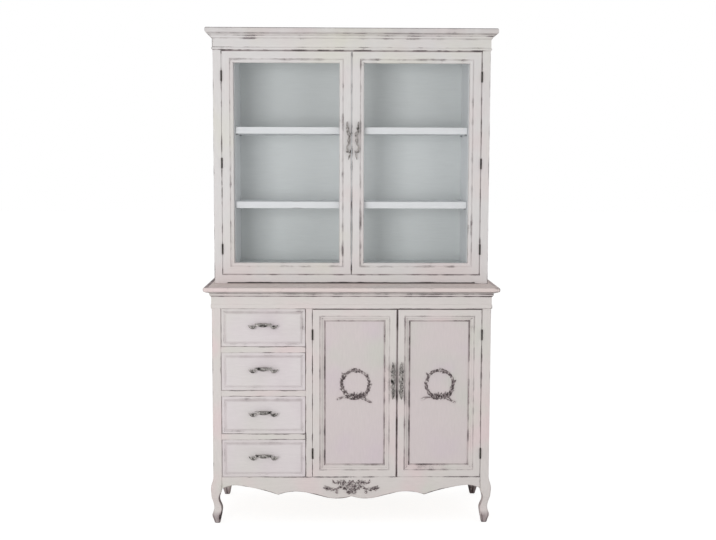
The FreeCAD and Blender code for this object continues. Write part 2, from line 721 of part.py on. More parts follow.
def make_runners():
    """Under and beside each drawer side: a runner with a guide, one L-shaped strip."""
    pieces = []
    start = case_front + s.drawer_rail_depth
    for number in range(1, 5):
        top = drawer_low(number)
        guide_top = top + s.guide_height
        low = top - s.runner_height if number > 1 else top
        if number == 1:
            # the lowest drawer slides on the floor board itself, between two guides
            left = rectangle((-side_inner, drawers_left), (low, guide_top))
            right = rectangle((drawers_right, partition_left), (low, guide_top))
        else:
            left_reach = drawers_left + s.runner_reach
            left = [(-side_inner, low), (left_reach, low), (left_reach, top)]
            left += [(drawers_left, top), (drawers_left, guide_top), (-side_inner, guide_top)]
            right_reach = drawers_right - s.runner_reach
            right = [(right_reach, low), (partition_left, low), (partition_left, guide_top)]
            right += [(drawers_right, guide_top), (drawers_right, top), (right_reach, top)]
        pieces.append(prism(f"left_runner_{number}", "XZ", left, start, rear_post_front))
        pieces.append(prism(f"right_runner_{number}", "XZ", right, start, rear_post_front))
    node("drawer_runners", *pieces)


# ---------------------------------------------------------------------------------------------------
# Pulls
# ---------------------------------------------------------------------------------------------------


def make_drawer_pull(name, x, face, z):
    """Bow pull: a bar that rises in the middle, dips at its two posts and ends in leaf tips."""
    tip = s.drawer_pull_width / 2
    post = s.pull_spread / 2
    top = z + s.drawer_pull_rise
    dip = z - s.drawer_pull_dip
    band = s.drawer_pull_band
    right_lower = [(x + post + band / 2, dip), (x + tip, z)]
    right_upper = [(x + post, dip + band), (x + post - band, top - band / 2)]
    left_upper = [(x - post + band, top - band / 2), (x - post, dip + band)]
    left_lower = [(x - tip, z), (x - post - band / 2, dip)]
    middle = [(x - post + band / 2, dip), (x - post + band * 1.6, z - band / 4)]
    middle += [(x + post - band * 1.6, z - band / 4), (x + post - band / 2, dip)]
    crown = [(x, top)]
    outline = middle + right_lower + right_upper + crown + left_upper + left_lower
    bar_back = face - s.pull_standoff
    bar = prism(f"{name}_bar", "XZ", outline, bar_back - s.pull_bar, bar_back)
    pieces = [bar]
    for side, post_x in (("left", x - post), ("right", x + post)):
        post_name = f"{name}_post_{side}"
        pieces.append(pin(post_name, s.pull_post_radius, s.pull_standoff, post_x, face, dip + band / 2, "-Y"))
    node(name, *pieces)


def make_door_pull(name, x, face, z, boss):
    """Long upright pull: leaf tips at both ends, slim waists, and a wider middle or a round boss."""
    half = s.door_pull_height / 2
    post = s.pull_spread / 2
    leaf_half = s.door_pull_width / 2
    waist = s.door_pull_waist / 2
    middle_half = waist if boss else leaf_half
    right = [(x + waist, z - half * 0.36), (x + middle_half, z), (x + waist, z + half * 0.36)]
    left = [(x - waist, z + half * 0.36), (x - middle_half, z), (x - waist, z - half * 0.36)]
    top_leaf = [(x + leaf_half, z + post), (x, z + half), (x - leaf_half, z + post)]
    bottom_leaf = [(x - leaf_half, z - post), (x, z - half), (x + leaf_half, z - post)]
    bar_back = face - s.pull_standoff
    outline = bottom_leaf + right + top_leaf + left
    bar = prism(f"{name}_bar", "XZ", outline, bar_back - s.pull_bar, bar_back)
    if boss:
        knob = pin(f"{name}_boss", s.pull_boss_radius, s.pull_bar, x, bar_back, z, "-Y")
        bar = fuse(f"{name}_bar_and_boss", [bar, knob])
    pieces = [bar]
    for side, post_z in (("low", z - post), ("high", z + post)):
        post_name = f"{name}_post_{side}"
        pieces.append(pin(post_name, s.pull_post_radius, s.pull_standoff, x, face, post_z, "-Y"))
    node(name, *pieces)


# ---------------------------------------------------------------------------------------------------
# Drawers
# ---------------------------------------------------------------------------------------------------


def make_drawer(number):
    name = f"drawer_{number}"
    low = drawer_low(number)
    high = low + drawer_height()
    front_x = (drawers_left + s.drawer_gap, drawers_right - s.drawer_gap)
    front_z = (low + s.drawer_gap, high - s.drawer_gap)
    front_back = case_front + s.drawer_front
    margin_face = case_front + s.field_relief
    slab = prism(f"{name}_front_body", "XZ", rectangle(front_x, front_z), margin_face, front_back)
    field_x = (front_x[0] + s.field_margin, front_x[1] - s.field_margin)
    field_z = (front_z[0] + s.field_margin, front_z[1] - s.field_margin)
    field_sketch = slab.newObject("Sketcher::SketchObject", f"{name}_field_outline")
    attach(slab, field_sketch, "XZ", case_front, margin_face)
    draw(field_sketch, rectangle(field_x, field_z))
    field = slab.newObject("PartDesign::Pad", f"{name}_field")
    field.Profile = field_sketch
    bind(field, "Length", margin_face - case_front)
    dress_edges(slab, "Chamfer", lambda edge: near(edge.BoundBox.YMax, case_front), s.field_bevel)
    node(f"{name}_front", slab)

    side_x = (drawers_left + s.running_gap, drawers_right - s.running_gap)
    box_back = case_front + s.drawer_length
    box_z = (low + s.running_gap, high - s.drawer_headroom)
    depth = (front_back, box_back)
    left = board(f"{name}_left", (side_x[0], side_x[0] + s.drawer_side), depth, box_z)
    right = board(f"{name}_right", (side_x[1] - s.drawer_side, side_x[1]), depth, box_z)
    inside_x = (side_x[0] + s.drawer_side, side_x[1] - s.drawer_side)
    rear = board(f"{name}_back", inside_x, (box_back - s.drawer_side, box_back), box_z)
    bottom_low = box_z[0] + s.bottom_lift
    bottom = board(f"{name}_bottom", inside_x, (front_back, box_back - s.drawer_side),
                   (bottom_low, bottom_low + s.drawer_bottom))
    node(f"{name}_box", left, right, rear, bottom)

    middle_x = (drawers_left + drawers_right) / 2
    middle_z = (low + high) / 2 + s.drawer_pull_lift
    make_drawer_pull(f"{name}_pull", middle_x, case_front, middle_z)


# ---------------------------------------------------------------------------------------------------
# Hinges
# ---------------------------------------------------------------------------------------------------

hinge_frame_leaves = []
hinge_pins = []


def make_hinge_masters():
    """One butt hinge at the origin: its pin runs up Z, the door lies on its +X side and closed doors
    lie on its +Y side. The frame leaf carries the outer two knuckles, the door leaf the middle one."""
    face = s.knuckle_radius + s.knuckle_gap
    half = s.hinge_height / 2
    knuckle_half = s.hinge_height / 6
    leaf_gap = s.hinge_gap / 2 - s.hinge_leaf
    leaves = {}
    half_gap = s.knuckle_gap / 2
    outer_knuckles = [(-half, -knuckle_half - half_gap), (knuckle_half + half_gap, half)]
    middle_knuckle = [(-knuckle_half + half_gap, knuckle_half - half_gap)]
    for name, x, spans in (
        ("frame", (-s.hinge_gap / 2, -leaf_gap), outer_knuckles),
        ("door", (leaf_gap, s.hinge_gap / 2), middle_knuckle),
    ):
        plate = board(f"{name}_leaf_plate", x, (face, face + s.hinge_leaf_depth), (-half, half))
        forms = [plate]
        for number, (low, high) in enumerate(spans):
            forms.append(board(f"{name}_leaf_web_{number}", x, (zero, face), (low, high)))
            knuckle_name = f"{name}_knuckle_{number}"
            forms.append(pin(knuckle_name, s.knuckle_radius, high - low, zero, zero, low))
        bore_radius = s.hinge_pin_radius + s.hinge_fit
        bore = pin(f"{name}_bore", bore_radius, s.hinge_height, zero, zero, -half)
        leaves[name] = cut(f"{name}_leaf_master", fuse(f"{name}_leaf_forms", forms), bore)
    leaves["pin"] = pin("hinge_pin_master", s.hinge_pin_radius, s.hinge_height, zero, zero, -half)
    leaves["mirrored frame"] = mirrored(leaves["frame"])
    leaves["mirrored door"] = mirrored(leaves["door"])
    return leaves


hinge_masters = make_hinge_masters()


def hang_door(name, hinge_x, face, heights, opens_left):
    """Put butt hinges at a door's edge. opens_left says that the door lies to the right of its hinges."""
    pin_y = face - s.knuckle_radius - s.knuckle_gap
    side = "" if opens_left else "mirrored "
    door_leaves = []
    door_master = hinge_masters[f"{side}door"]
    frame_master = hinge_masters[f"{side}frame"]
    for number, height in enumerate(heights, start=1):
        spot = (hinge_x, pin_y, height)
        door_leaves.append(copy_at(f"{name}_door_leaf_{number}", door_master, *spot))
        hinge_frame_leaves.append(copy_at(f"{name}_frame_leaf_{number}", frame_master, *spot))
        hinge_pins.append(copy_at(f"{name}_hinge_pin_{number}", hinge_masters["pin"], *spot))
    node(f"{name}_hinge_leaves", *door_leaves)


# ---------------------------------------------------------------------------------------------------
# Doors
# ---------------------------------------------------------------------------------------------------


def door_sticks(name, x, z, width, low, high):
    """Four mitred sticks round the inside of a rectangle, between two depths."""
    inner_x = (x[0] + width, x[1] - width)
    inner_z = (z[0] + width, z[1] - width)
    corners = rectangle(x, z)
    inner = rectangle(inner_x, inner_z)
    sticks = []
    for number, side in enumerate(("bottom", "right", "top", "left")):
        after = (number + 1) % 4
        outline = [corners[number], corners[after], inner[after], inner[number]]
        sticks.append(prism(f"{name}_{side}", "XZ", outline, low, high))
    return sticks


def bevel_sticks(sticks, x, z, width, face, bevel):
    """Bevel the inner front edge of each of four sticks."""
    inner_edges = (z[0] + width, x[1] - width, z[1] - width, x[0] + width)
    for stick, inner, upright in zip(sticks, inner_edges, (False, True, False, True)):

        def is_inner_front(edge, inner=inner, upright=upright):
            box = edge.BoundBox
            at_front = near(box.YMax, face)
            if upright:
                return at_front and near(box.XMin, inner) and near(box.XMax, inner)
            return at_front and near(box.ZMin, inner) and near(box.ZMax, inner)

        dress_edges(stick, "Chamfer", is_inner_front, bevel)


def flat_frame(name, x, z, width, face):
    """Two stiles over the full height, with a rail at the top and the bottom between them."""
    depth = (face, face + s.door_thickness)
    inner_x = (x[0] + width, x[1] - width)
    return [
        board(f"{name}_left_stile", (x[0], inner_x[0]), depth, z),
        board(f"{name}_right_stile", (inner_x[1], x[1]), depth, z),
        board(f"{name}_bottom_rail", inner_x, depth, (z[0], z[0] + width)),
        board(f"{name}_top_rail", inner_x, depth, (z[1] - width, z[1])),
    ]


def shrunk(span, amount):
    return (span[0] + amount, span[1] - amount)


def make_buffet_door(name, x, hinge_left):
    z = (s.opening_low + s.drawer_gap, opening_high - s.drawer_gap)
    face = case_front
    frame = flat_frame(name, x, z, s.door_frame, face)
    inside_x = shrunk(x, s.door_frame)
    inside_z = shrunk(z, s.door_frame)
    width = s.door_moulding
    moulding = door_sticks(f"{name}_moulding", inside_x, inside_z, width, face, face + s.moulding_depth)
    bevel_sticks(moulding, inside_x, inside_z, width, face, s.door_moulding_bevel)
    node(f"{name}_frame", *frame, *moulding)
    panel_face = face + s.moulding_depth
    panel = board(f"{name}_panel_board", shrunk(inside_x, s.panel_gap),
                  (panel_face, panel_face + s.panel_thickness), shrunk(inside_z, s.panel_gap))
    node(f"{name}_panel", panel)
    make_wreath(name, (x[0] + x[1]) / 2, panel_face)
    pull_x = x[1] - s.buffet_pull_inset if hinge_left else x[0] + s.buffet_pull_inset
    make_door_pull(f"{name}_pull", pull_x, face, opening_high - s.buffet_pull_drop, False)


def make_wreath(name, x, face):
    """Laurel wreath: a half-round ring on the panel, with two stem tails at its foot."""
    ring = document.addObject("Part::Torus", f"{name}_wreath_ring")
    bind(ring, "Radius1", s.wreath_radius)
    bind(ring, "Radius2", s.wreath_band)
    ring.Placement = FreeCAD.Placement(FreeCAD.Vector(), FreeCAD.Rotation(FreeCAD.Vector(1, 0, 0), 90))
    middle = opening_high - s.wreath_drop
    place(ring, x, face, middle)
    tail_z = middle - s.wreath_tail_drop
    half_tail = s.wreath_tail / 2
    thick = s.wreath_tail_thickness / 2
    forms = [ring]
    for side in (-1, 1):
        tail_x = x + s.wreath_tail_at * side
        tail_name = f"{name}_wreath_tail_{'left' if side < 0 else 'right'}"
        slope = -WREATH_TAIL_SLOPE * side
        forms.append(leaf(tail_name, tail_x, face, tail_z, half_tail, thick, s.wreath_band, slope))
    reach = s.wreath_radius + s.wreath_band + s.wreath_tail
    wreath = relief(f"{name}_wreath_relief", forms, (x - reach, x + reach), face,
                    (middle - reach, middle + reach), s.wreath_band)
    node(f"{name}_wreath", wreath)


def make_glass_door(name, x, hinge_left):
    z = (hutch_opening_low + s.drawer_gap, hutch_opening_high - s.drawer_gap)
    face = hutch_front
    frame = flat_frame(name, x, z, s.glass_frame, face)
    inside_x = shrunk(x, s.glass_frame)
    inside_z = shrunk(z, s.glass_frame)
    width = s.glass_moulding
    moulding = door_sticks(f"{name}_moulding", inside_x, inside_z, width, face, face + s.moulding_depth)
    bevel_sticks(moulding, inside_x, inside_z, width, face, s.glass_moulding_bevel)
    pane_face = face + s.moulding_depth
    bead_face = pane_face + s.glass_thickness
    beads = door_sticks(f"{name}_bead", inside_x, inside_z, s.glazing_bead, bead_face,
                        bead_face + s.glazing_bead_depth)
    node(f"{name}_frame", *frame, *moulding, *beads)
    pane_x = shrunk(inside_x, s.panel_gap)
    pane_z = shrunk(inside_z, s.panel_gap)
    node(f"{name}_glass", board(f"{name}_pane", pane_x, (pane_face, bead_face), pane_z))
    pull_x = x[1] - s.hutch_pull_inset if hinge_left else x[0] + s.hutch_pull_inset
    make_door_pull(f"{name}_pull", pull_x, face, hutch_opening_high - s.hutch_pull_drop, True)


def make_doors():
    door_width = (cupboard_right - cupboard_left - s.hinge_gap * 2 - s.meeting_gap) / 2
    left_x = (cupboard_left + s.hinge_gap, cupboard_left + s.hinge_gap + door_width)
    right_x = (cupboard_right - s.hinge_gap - door_width, cupboard_right - s.hinge_gap)
    heights = (s.opening_low + s.buffet_hinge_from_foot, opening_high - s.buffet_hinge_from_top)
    make_buffet_door("left_door", left_x, True)
    hang_door("left_door", cupboard_left + s.hinge_gap / 2, case_front, heights, True)
    make_buffet_door("right_door", right_x, False)
    hang_door("right_door", cupboard_right - s.hinge_gap / 2, case_front, heights, False)

    half_gap = s.meeting_gap / 2
    outer = hutch_opening_half - s.hinge_gap
    low_hinge = hutch_opening_low + s.hutch_hinge_from_foot
    high_hinge = hutch_opening_high - s.hutch_hinge_from_top
    heights = (low_hinge, (low_hinge + high_hinge) / 2, high_hinge)
    hinge_x = hutch_opening_half - s.hinge_gap / 2
    make_glass_door("left_glass_door", (-outer, -half_gap), True)
    hang_door("left_glass_door", -hinge_x, hutch_front, heights, True)
    make_glass_door("right_glass_door", (half_gap, outer), False)
    hang_door("right_glass_door", hinge_x, hutch_front, heights, False)


# ---------------------------------------------------------------------------------------------------
# Hutch
# ---------------------------------------------------------------------------------------------------


def make_hutch_case():
    base = s.buffet_height
    height = (base, hutch_case_top)
    front_depth = (hutch_front, hutch_rail_back)
    side = board("hutch_side", (-hutch_half, -hutch_side_inner), (hutch_rail_back, back_face), height)
    node("hutch_side_panels", side, mirrored(side))
    stile = board("hutch_face_stile", (-hutch_half, -hutch_opening_half), front_depth, height)
    rear = board("hutch_back", (-hutch_half, hutch_half), (back_face, back), height)
    node("hutch_back_panel", rear)

    half = hutch_opening_half
    foot = half - s.hutch_foot
    foot_top = base + s.hutch_foot_gap
    outline = [
        (-half, base), (-foot, base), (-foot, foot_top), (foot, foot_top), (foot, base),
        (half, base), (half, hutch_opening_low), (-half, hutch_opening_low),
    ]
    bottom_rail = prism("bottom_rail", "XZ", outline, hutch_front, hutch_rail_back)
    top_rail = board("hutch_front_rail", (-half, half), front_depth, (hutch_opening_high, hutch_case_top))
    node("hutch_face_frame", stile, mirrored(stile), bottom_rail, top_rail)
    bearer_front = hutch_door_back + s.running_gap
    bearer_depth = (bearer_front, bearer_front + s.bearer_depth)
    floor_low = hutch_floor - s.board
    width = (-hutch_side_inner, hutch_side_inner)
    node("hutch_floor_bearer", board("floor_bearer", width, bearer_depth, (base, floor_low)))
    floor = board("hutch_floor_board", width, (bearer_front, back_face), (floor_low, hutch_floor))
    top_height = (hutch_ceiling, hutch_ceiling + s.board)
    top = board("hutch_top_board", width, (hutch_rail_back, back_face), top_height)
    node("hutch_floor_and_top", floor, top)


def make_hutch_inside():
    """Linings stand between floor and ceiling and carry two shelves on pins."""
    lining_outer = lining_inner + s.board
    blank = board("lining_board", (-lining_outer, -lining_inner), (lining_front, back_face),
                  (hutch_floor, hutch_ceiling))
    holes = []
    pins = []
    shelves = []
    pin_start = -lining_inner - s.pin_sunk
    for name, height in (("lower", s.lower_shelf_height), ("upper", s.upper_shelf_height)):
        top = s.buffet_height + height
        underside = top - s.shelf_thickness
        pin_z = underside - s.pin_radius
        for row, y in (("front", lining_front + s.pin_from_edge), ("back", back_face - s.pin_from_edge)):
            pin_name = f"{name}_{row}_pin"
            spot = (pin_start, y, pin_z, "X")
            holes.append(pin(f"{pin_name}_hole", s.pin_radius + s.pin_fit, s.pin_length, *spot))
            shelf_pin = pin(pin_name, s.pin_radius, s.pin_length, *spot)
            pins += [shelf_pin, mirrored(shelf_pin)]
        half = lining_inner - s.shelf_end_gap
        shelf_depth = (lining_front + s.shelf_setback, back_face)
        shelves.append(board(f"{name}_shelf_board", (-half, half), shelf_depth, (underside, top)))
    lining = cut("lining", blank, gathered("pin_holes", holes))
    node("hutch_linings", lining, mirrored(lining))
    node("hutch_shelves", *shelves)
    node("shelf_pins", *pins)


def make_cornice():
    low = hutch_case_top
    half = hutch_half + s.cornice_side_reach
    front = hutch_front - s.cornice_reach
    crown = nosed_board("cornice_board_body", half, front, low, total_height, s.cornice_nose)
    node("cornice_board", crown)
    cove = mitred_run("cornice_cove", cove_profile(low), hutch_half, hutch_front, s.cove_reach)
    low_bead = bead_profile(hutch_opening_high)
    bead = mitred_run("cornice_bead", low_bead, hutch_half, hutch_front, s.bead_height)
    node("cornice_mouldings", *cove, *bead)


# ---------------------------------------------------------------------------------------------------
# Build and write
# ---------------------------------------------------------------------------------------------------


def check_document():
    """Stop before writing if any object failed or any sub-part is not a valid shape."""
    document.recompute()
    failed = [thing.Name for thing in document.Objects if {"Invalid", "Error"} & set(thing.State)]
    if failed:
        raise RuntimeError(f"not built: {', '.join(failed)}")
    for name, piece in nodes.items():
        if piece.Shape.isNull() or not piece.Shape.isValid() or not piece.Shape.Solids:
            raise RuntimeError(f"no valid solid: {name}")


def main():
    make_buffet_top()
    make_legs()
    make_buffet_sides()
    make_buffet_front()
    make_buffet_inside()
    for number in range(1, 5):
        make_drawer(number)
    make_doors()
    make_hutch_case()
    make_hutch_inside()
    make_cornice()
    node("hinge_frame_leaves", *hinge_frame_leaves)
    node("hinge_pins", *hinge_pins)
    check_document()
    os.makedirs("parts", exist_ok=True)
    for name, piece in nodes.items():
        piece.Shape.exportStep(f"parts/{name}.step")
        print(f"{name}: {len(piece.Shape.Solids)} solids")
    print(f"{len(nodes)} nodes")


main()
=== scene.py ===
"""Dresser with hutch: painted boards, mouldings, carving, handles, glass, light and camera."""

import json
import math

import bmesh
import bpy
from mathutils import Matrix, Vector

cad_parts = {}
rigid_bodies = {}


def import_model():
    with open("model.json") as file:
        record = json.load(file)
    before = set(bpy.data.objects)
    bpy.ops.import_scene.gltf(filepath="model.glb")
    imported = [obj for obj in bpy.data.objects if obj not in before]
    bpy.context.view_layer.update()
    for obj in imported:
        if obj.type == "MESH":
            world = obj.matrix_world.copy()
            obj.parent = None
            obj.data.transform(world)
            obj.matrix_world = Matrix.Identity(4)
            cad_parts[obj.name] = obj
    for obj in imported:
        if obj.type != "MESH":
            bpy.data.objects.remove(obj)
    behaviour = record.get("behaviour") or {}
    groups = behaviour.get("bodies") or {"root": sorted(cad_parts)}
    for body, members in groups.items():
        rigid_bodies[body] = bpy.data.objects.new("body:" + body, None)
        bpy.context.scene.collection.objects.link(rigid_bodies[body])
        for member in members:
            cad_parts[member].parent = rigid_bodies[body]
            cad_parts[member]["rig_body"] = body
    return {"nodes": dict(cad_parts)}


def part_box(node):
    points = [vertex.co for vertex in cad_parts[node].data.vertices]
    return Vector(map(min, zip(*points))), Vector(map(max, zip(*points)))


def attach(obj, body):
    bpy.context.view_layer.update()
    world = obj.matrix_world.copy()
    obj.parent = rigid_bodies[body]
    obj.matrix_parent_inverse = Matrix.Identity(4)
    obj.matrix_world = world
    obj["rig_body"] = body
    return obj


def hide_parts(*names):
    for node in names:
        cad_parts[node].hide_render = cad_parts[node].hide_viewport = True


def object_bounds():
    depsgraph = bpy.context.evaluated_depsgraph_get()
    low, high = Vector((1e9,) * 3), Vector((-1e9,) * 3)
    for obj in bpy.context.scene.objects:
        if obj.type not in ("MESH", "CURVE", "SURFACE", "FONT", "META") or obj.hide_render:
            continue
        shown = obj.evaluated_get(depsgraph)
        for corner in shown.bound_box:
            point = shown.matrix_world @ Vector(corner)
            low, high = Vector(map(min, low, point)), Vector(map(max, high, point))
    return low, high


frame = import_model()

bl_info = {
    "name": "Dresser with hutch",
    "version": (1, 0, 0),
    "blender": (4, 5, 0),
    "location": "3D View > Sidebar > Dresser",
    "description": "Dresses the packed frame of a painted dresser with hutch",
    "category": "Add Mesh",
}

MM = 0.001
OUTER_LOW, OUTER_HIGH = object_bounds()


# ---------------------------------------------------------------------------------------------------
# Colours and node trees
# ---------------------------------------------------------------------------------------------------


def linear(code):
    """An sRGB hex colour as the linear colour that Blender's sockets hold."""
    shares = [int(code[i:i + 2], 16) / 255 for i in (1, 3, 5)]
    return (*[c / 12.92 if c <= 0.04045 else ((c + 0.055) / 1.055) ** 2.4 for c in shares], 1.0)


def per_metre(size):
    """The Scale of a pattern whose features are size millimetres apart."""
    return 1000 / size


def add(tree, kind, inputs=None, **settings):
    """Adds one node. inputs maps a socket's name or number to a value or to another node's output."""
    made = tree.nodes.new(kind)
    for key, value in settings.items():
        setattr(made, key, value)
    for key, value in (inputs or {}).items():
        if isinstance(value, bpy.types.NodeSocket):
            tree.links.new(value, made.inputs[key])
        else:
            made.inputs[key].default_value = value
    return made


MATERIALS = {}


def new_material(name):
    """Adds an empty material to MATERIALS and returns its node tree."""
    material = bpy.data.materials.new(name)
    material.use_nodes = True
    material.node_tree.nodes.clear()
    MATERIALS[name] = material
    return material.node_tree


# ---------------------------------------------------------------------------------------------------
# Settings
# ---------------------------------------------------------------------------------------------------


def colour(name, code, description):
    """A colour that the panel shows."""
    return bpy.props.FloatVectorProperty(
        name=name, description=description, subtype="COLOR", size=4, min=0, max=1, default=linear(code))


def length(name, size, description):
    """A length that the panel shows, given in millimetres."""
    return bpy.props.FloatProperty(
        name=name, description=description, default=size * MM, min=0, unit="LENGTH", subtype="DISTANCE")


class DresserColours(bpy.types.PropertyGroup):
    """Colours of the finishes."""

    hutch_paint: colour("Hutch paint", "#dbd8d7", "Chalk paint of the hutch and its doors")
    hutch_cream: colour("Hutch cream", "#dbd9cf", "Greenish cream patches in the hutch's paint")
    hutch_rose: colour("Hutch rose", "#dcd2d1", "Rose patches in the hutch's paint")
    buffet_paint: colour("Buffet paint", "#d6d0cd", "Chalk paint of the buffet's posts, rails and doors")
    buffet_cream: colour("Buffet cream", "#d1d0c8", "Greenish cream patches in the buffet's paint")
    buffet_rose: colour("Buffet rose", "#dccbcb", "Rose patches in the buffet's paint")
    slab_paint: colour("Slab paint", "#dccfcb", "Warmer, rosier paint on the buffet's top")
    drawer_paint: colour("Drawer paint", "#dad3d4", "Chalk paint of the drawer fronts")
    panel_paint: colour("Panel paint", "#d2c8c8", "Chalk paint of the door panels")
    panel_sage: colour("Panel sage", "#cbcac3", "Greenish patches in the panels' paint")
    panel_lilac: colour("Panel lilac", "#d0c3c9", "Lilac patches in the panels' and drawers' paint")
    interior_paint: colour("Interior paint", "#d9dddd", "Cool pale grey paint on the hutch's back")
    shelf_paint: colour("Shelf paint", "#e6e8ea", "White paint on the hutch's shelves and inner sides")
    # The bared wood colour also gives the black of the painted shadow in gaps and deep hollows
    bared_wood_and_shadow: colour("Bared wood", "#3b2f30", "Dark wood and wax where the paint is rubbed through")
    # The thin paint colour also gives the tone of the painted shade in hollows and under boards
    thin_paint_and_shade: colour("Thin paint", "#9d9091", "Paint rubbed thin beside a bared edge")
    # The stained wood colour darkens the bearer seen through the slot under the hutch, as painted shadow there
    slot_shadow_wood: colour("Stained wood", "#2b2422", "Dark stained wood that never was painted")
    pine: colour("Pine", "#c7a777", "Unpainted pine inside drawers and carcase")
    pewter: colour("Pewter", "#9a9693", "Raised parts of the cast handles")
    pewter_hollow: colour("Pewter hollows", "#151110", "Hollows of the cast handles")
    floor: colour("Floor", "#f4f4f4", "Plain pale floor")


class DresserSizes(bpy.types.PropertyGroup):
    """Sizes of what is added to the frame."""

    edge_rounding: length("Edge rounding", 1.4, "Rounding of the painted boards' edges")
    wear_reach: length("Wear reach", 6.0, "How far the rubbed edges reach over a face")
    brush_mark: length("Brush mark", 4.5, "Distance between brush marks, across the board")
    tint_patch: length("Tint patch", 260, "Size of the soft colour patches in the paint")
    leaf_length: length("Leaf length", 16, "Length of a laurel leaf on the wreaths")
    leaf_spacing: length("Leaf spacing", 6.2, "Distance between the laurel leaves")
    casting_grain: length("Casting grain", 0.8, "Fineness of the cast handles' mesh")


# ---------------------------------------------------------------------------------------------------
# Meshes
# ---------------------------------------------------------------------------------------------------


def new_piece(name, mesh, body, material, slot=None, stands_for=(), smooth=True):
    """Links a finished mesh as a piece that rides on a body."""
    piece = bpy.data.objects.new(name, mesh)
    bpy.context.scene.collection.objects.link(piece)
    mesh.materials.clear()
    mesh.materials.append(MATERIALS[material])
    if smooth:
        mesh.shade_smooth()
    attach(piece, body)
    if stands_for:
        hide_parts(*stands_for)
    return piece


def finished(mesh, *modifiers):
    """The mesh after the modifiers, as a plain mesh. Each modifier is (type, settings)."""
    holder = bpy.data.objects.new("holder", mesh)
    bpy.context.scene.collection.objects.link(holder)
    for kind, settings in modifiers:
        modifier = holder.modifiers.new(kind, kind)
        for key, value in settings.items():
            setattr(modifier, key, value)
    depsgraph = bpy.context.evaluated_depsgraph_get()
    made = bpy.data.meshes.new_from_object(
        holder.evaluated_get(depsgraph), preserve_all_data_layers=True, depsgraph=depsgraph)
    bpy.data.objects.remove(holder)
    bpy.data.meshes.remove(mesh)
    return made


def rounded(mesh, width, segments=3, angle=35):
    """The mesh with its sharp edges rounded."""
    return finished(mesh, ("BEVEL", {
        "width": width, "segments": segments, "limit_method": "ANGLE", "angle_limit": math.radians(angle),
        "harden_normals": True, "use_clamp_overlap": True, "miter_outer": "MITER_ARC"}))


def rounded_piece(node, ending, mesh, material, slot, width, segments, angle):
    """Stands for a node with a mesh of its own, its edges rounded by a width in millimetres."""
    return new_piece(f"{node}_{ending}", rounded(mesh, width * MM, segments, angle),
                     frame["nodes"][node]["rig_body"], material, slot, [node], smooth=False)


def shells(mesh):
    """Splits a node's loose triangles into its closed boards."""
    at = [tuple(round(c, 6) for c in vertex.co) for vertex in mesh.vertices]
    shell, open_edges = [], set()
    for face in mesh.polygons:
        corners = [at[i] for i in face.vertices]
        if len(set(corners)) < 3:
            continue
        shell.append(corners)
        for edge in zip(corners, corners[1:] + corners[:1]):
            if edge[::-1] in open_edges:
                open_edges.remove(edge[::-1])
            else:
                open_edges.add(edge)
        if not open_edges:
            yield shell
            shell = []


# How many times longer than wide a brush mark or a streak of grain is
GRAIN_STRETCH = 9


def grain_along(axis):
    """Share of each coordinate that a brush mark or wood grain along the axis keeps."""
    shares = [1.0, 1.0, 1.0]
    shares[axis] = 1 / GRAIN_STRETCH
    return shares


def keep_planes(bm):
    """Writes each face's own direction to its attribute "plane", which rounded edges then keep."""
    plane = bm.faces.layers.float_vector.new("plane")
    bm.normal_update()
    for face in bm.faces:
        face[plane] = face.normal


def board_mesh(shell):
    """One board of a node as a clean mesh, with its grain along its longest side."""
    bm = bmesh.new()
    grain = bm.faces.layers.float_vector.new("grain")
    bm.faces.layers.float.new("wax_and_shade")
    places = {}
    for corners in shell:
        for corner in corners:
            if corner not in places:
                places[corner] = bm.verts.new(corner)
        bm.faces.new([places[corner] for corner in corners])
    bm.normal_update()
    bmesh.ops.dissolve_limit(bm, angle_limit=math.radians(0.5), verts=bm.verts, edges=bm.edges)
    sizes = [max(c[i] for c in places) - min(c[i] for c in places) for i in range(3)]
    direction = Vector(grain_along(sizes.index(max(sizes))))
    for face in bm.faces:
        face[grain] = direction
    keep_planes(bm)
    mesh = bpy.data.meshes.new("board")
    bm.to_mesh(mesh)
    bm.free()
    return mesh


def weigh_lower_edge(mesh, share):
    """Weighs a board's edges for rounding: 1 along the front of its lower outline, a share elsewhere."""
    front = min(vertex.co.y for vertex in mesh.vertices)
    top = max(vertex.co.z for vertex in mesh.vertices)
    reach = max(vertex.co.x for vertex in mesh.vertices)
    weights = mesh.attributes.new("bevel_weight_edge", "FLOAT", "EDGE")
    for edge, weight in zip(mesh.edges, weights.data):
        ends = [mesh.vertices[i].co for i in edge.vertices]
        lower = all(p.y < front + MM and p.z < top - 3 * MM for p in ends)
        upright = all(abs(p.x) > reach - MM for p in ends)
        weight.value = 1 if lower and not upright else share


# Painted shadow strip over the slot under the hutch: its top above the foot, its half length in millimetres,
# and its wax weight, which paints the slot's shadow on it
SLOT_SHADOW_STRIP = (8.2, 521, 2.0)


def shadow_strip(mesh, height, reach, wax_and_shade):
    """Parts a strip from the foot of a mesh's faces and gives it a wax weight within reach of the middle,
    which paints the shadow of the slot under it.
    """
    bm = bmesh.new()
    bm.from_mesh(mesh)
    bmesh.ops.bisect_plane(bm, geom=[*bm.verts, *bm.edges, *bm.faces], plane_co=(0, 0, height),
                           plane_no=(0, 0, 1))
    soil_and_shade = bm.faces.layers.float["wax_and_shade"]
    for face in bm.faces:
        if all(v.co.z < height + 0.1 * MM and abs(v.co.x) < reach for v in face.verts):
            face[soil_and_shade] = wax_and_shade
    bm.to_mesh(mesh)
    bm.free()


def fused(boards):
    """Several flush boards as one mesh."""
    others = bpy.data.collections.new("others")
    for board in boards[1:]:
        others.objects.link(bpy.data.objects.new("other", board))
    mesh = finished(boards[0], ("BOOLEAN", {
        "operation": "UNION", "solver": "EXACT", "operand_type": "COLLECTION", "collection": others}))
    for other in list(others.objects):
        bpy.data.objects.remove(other)
    bpy.data.collections.remove(others)
    return mesh


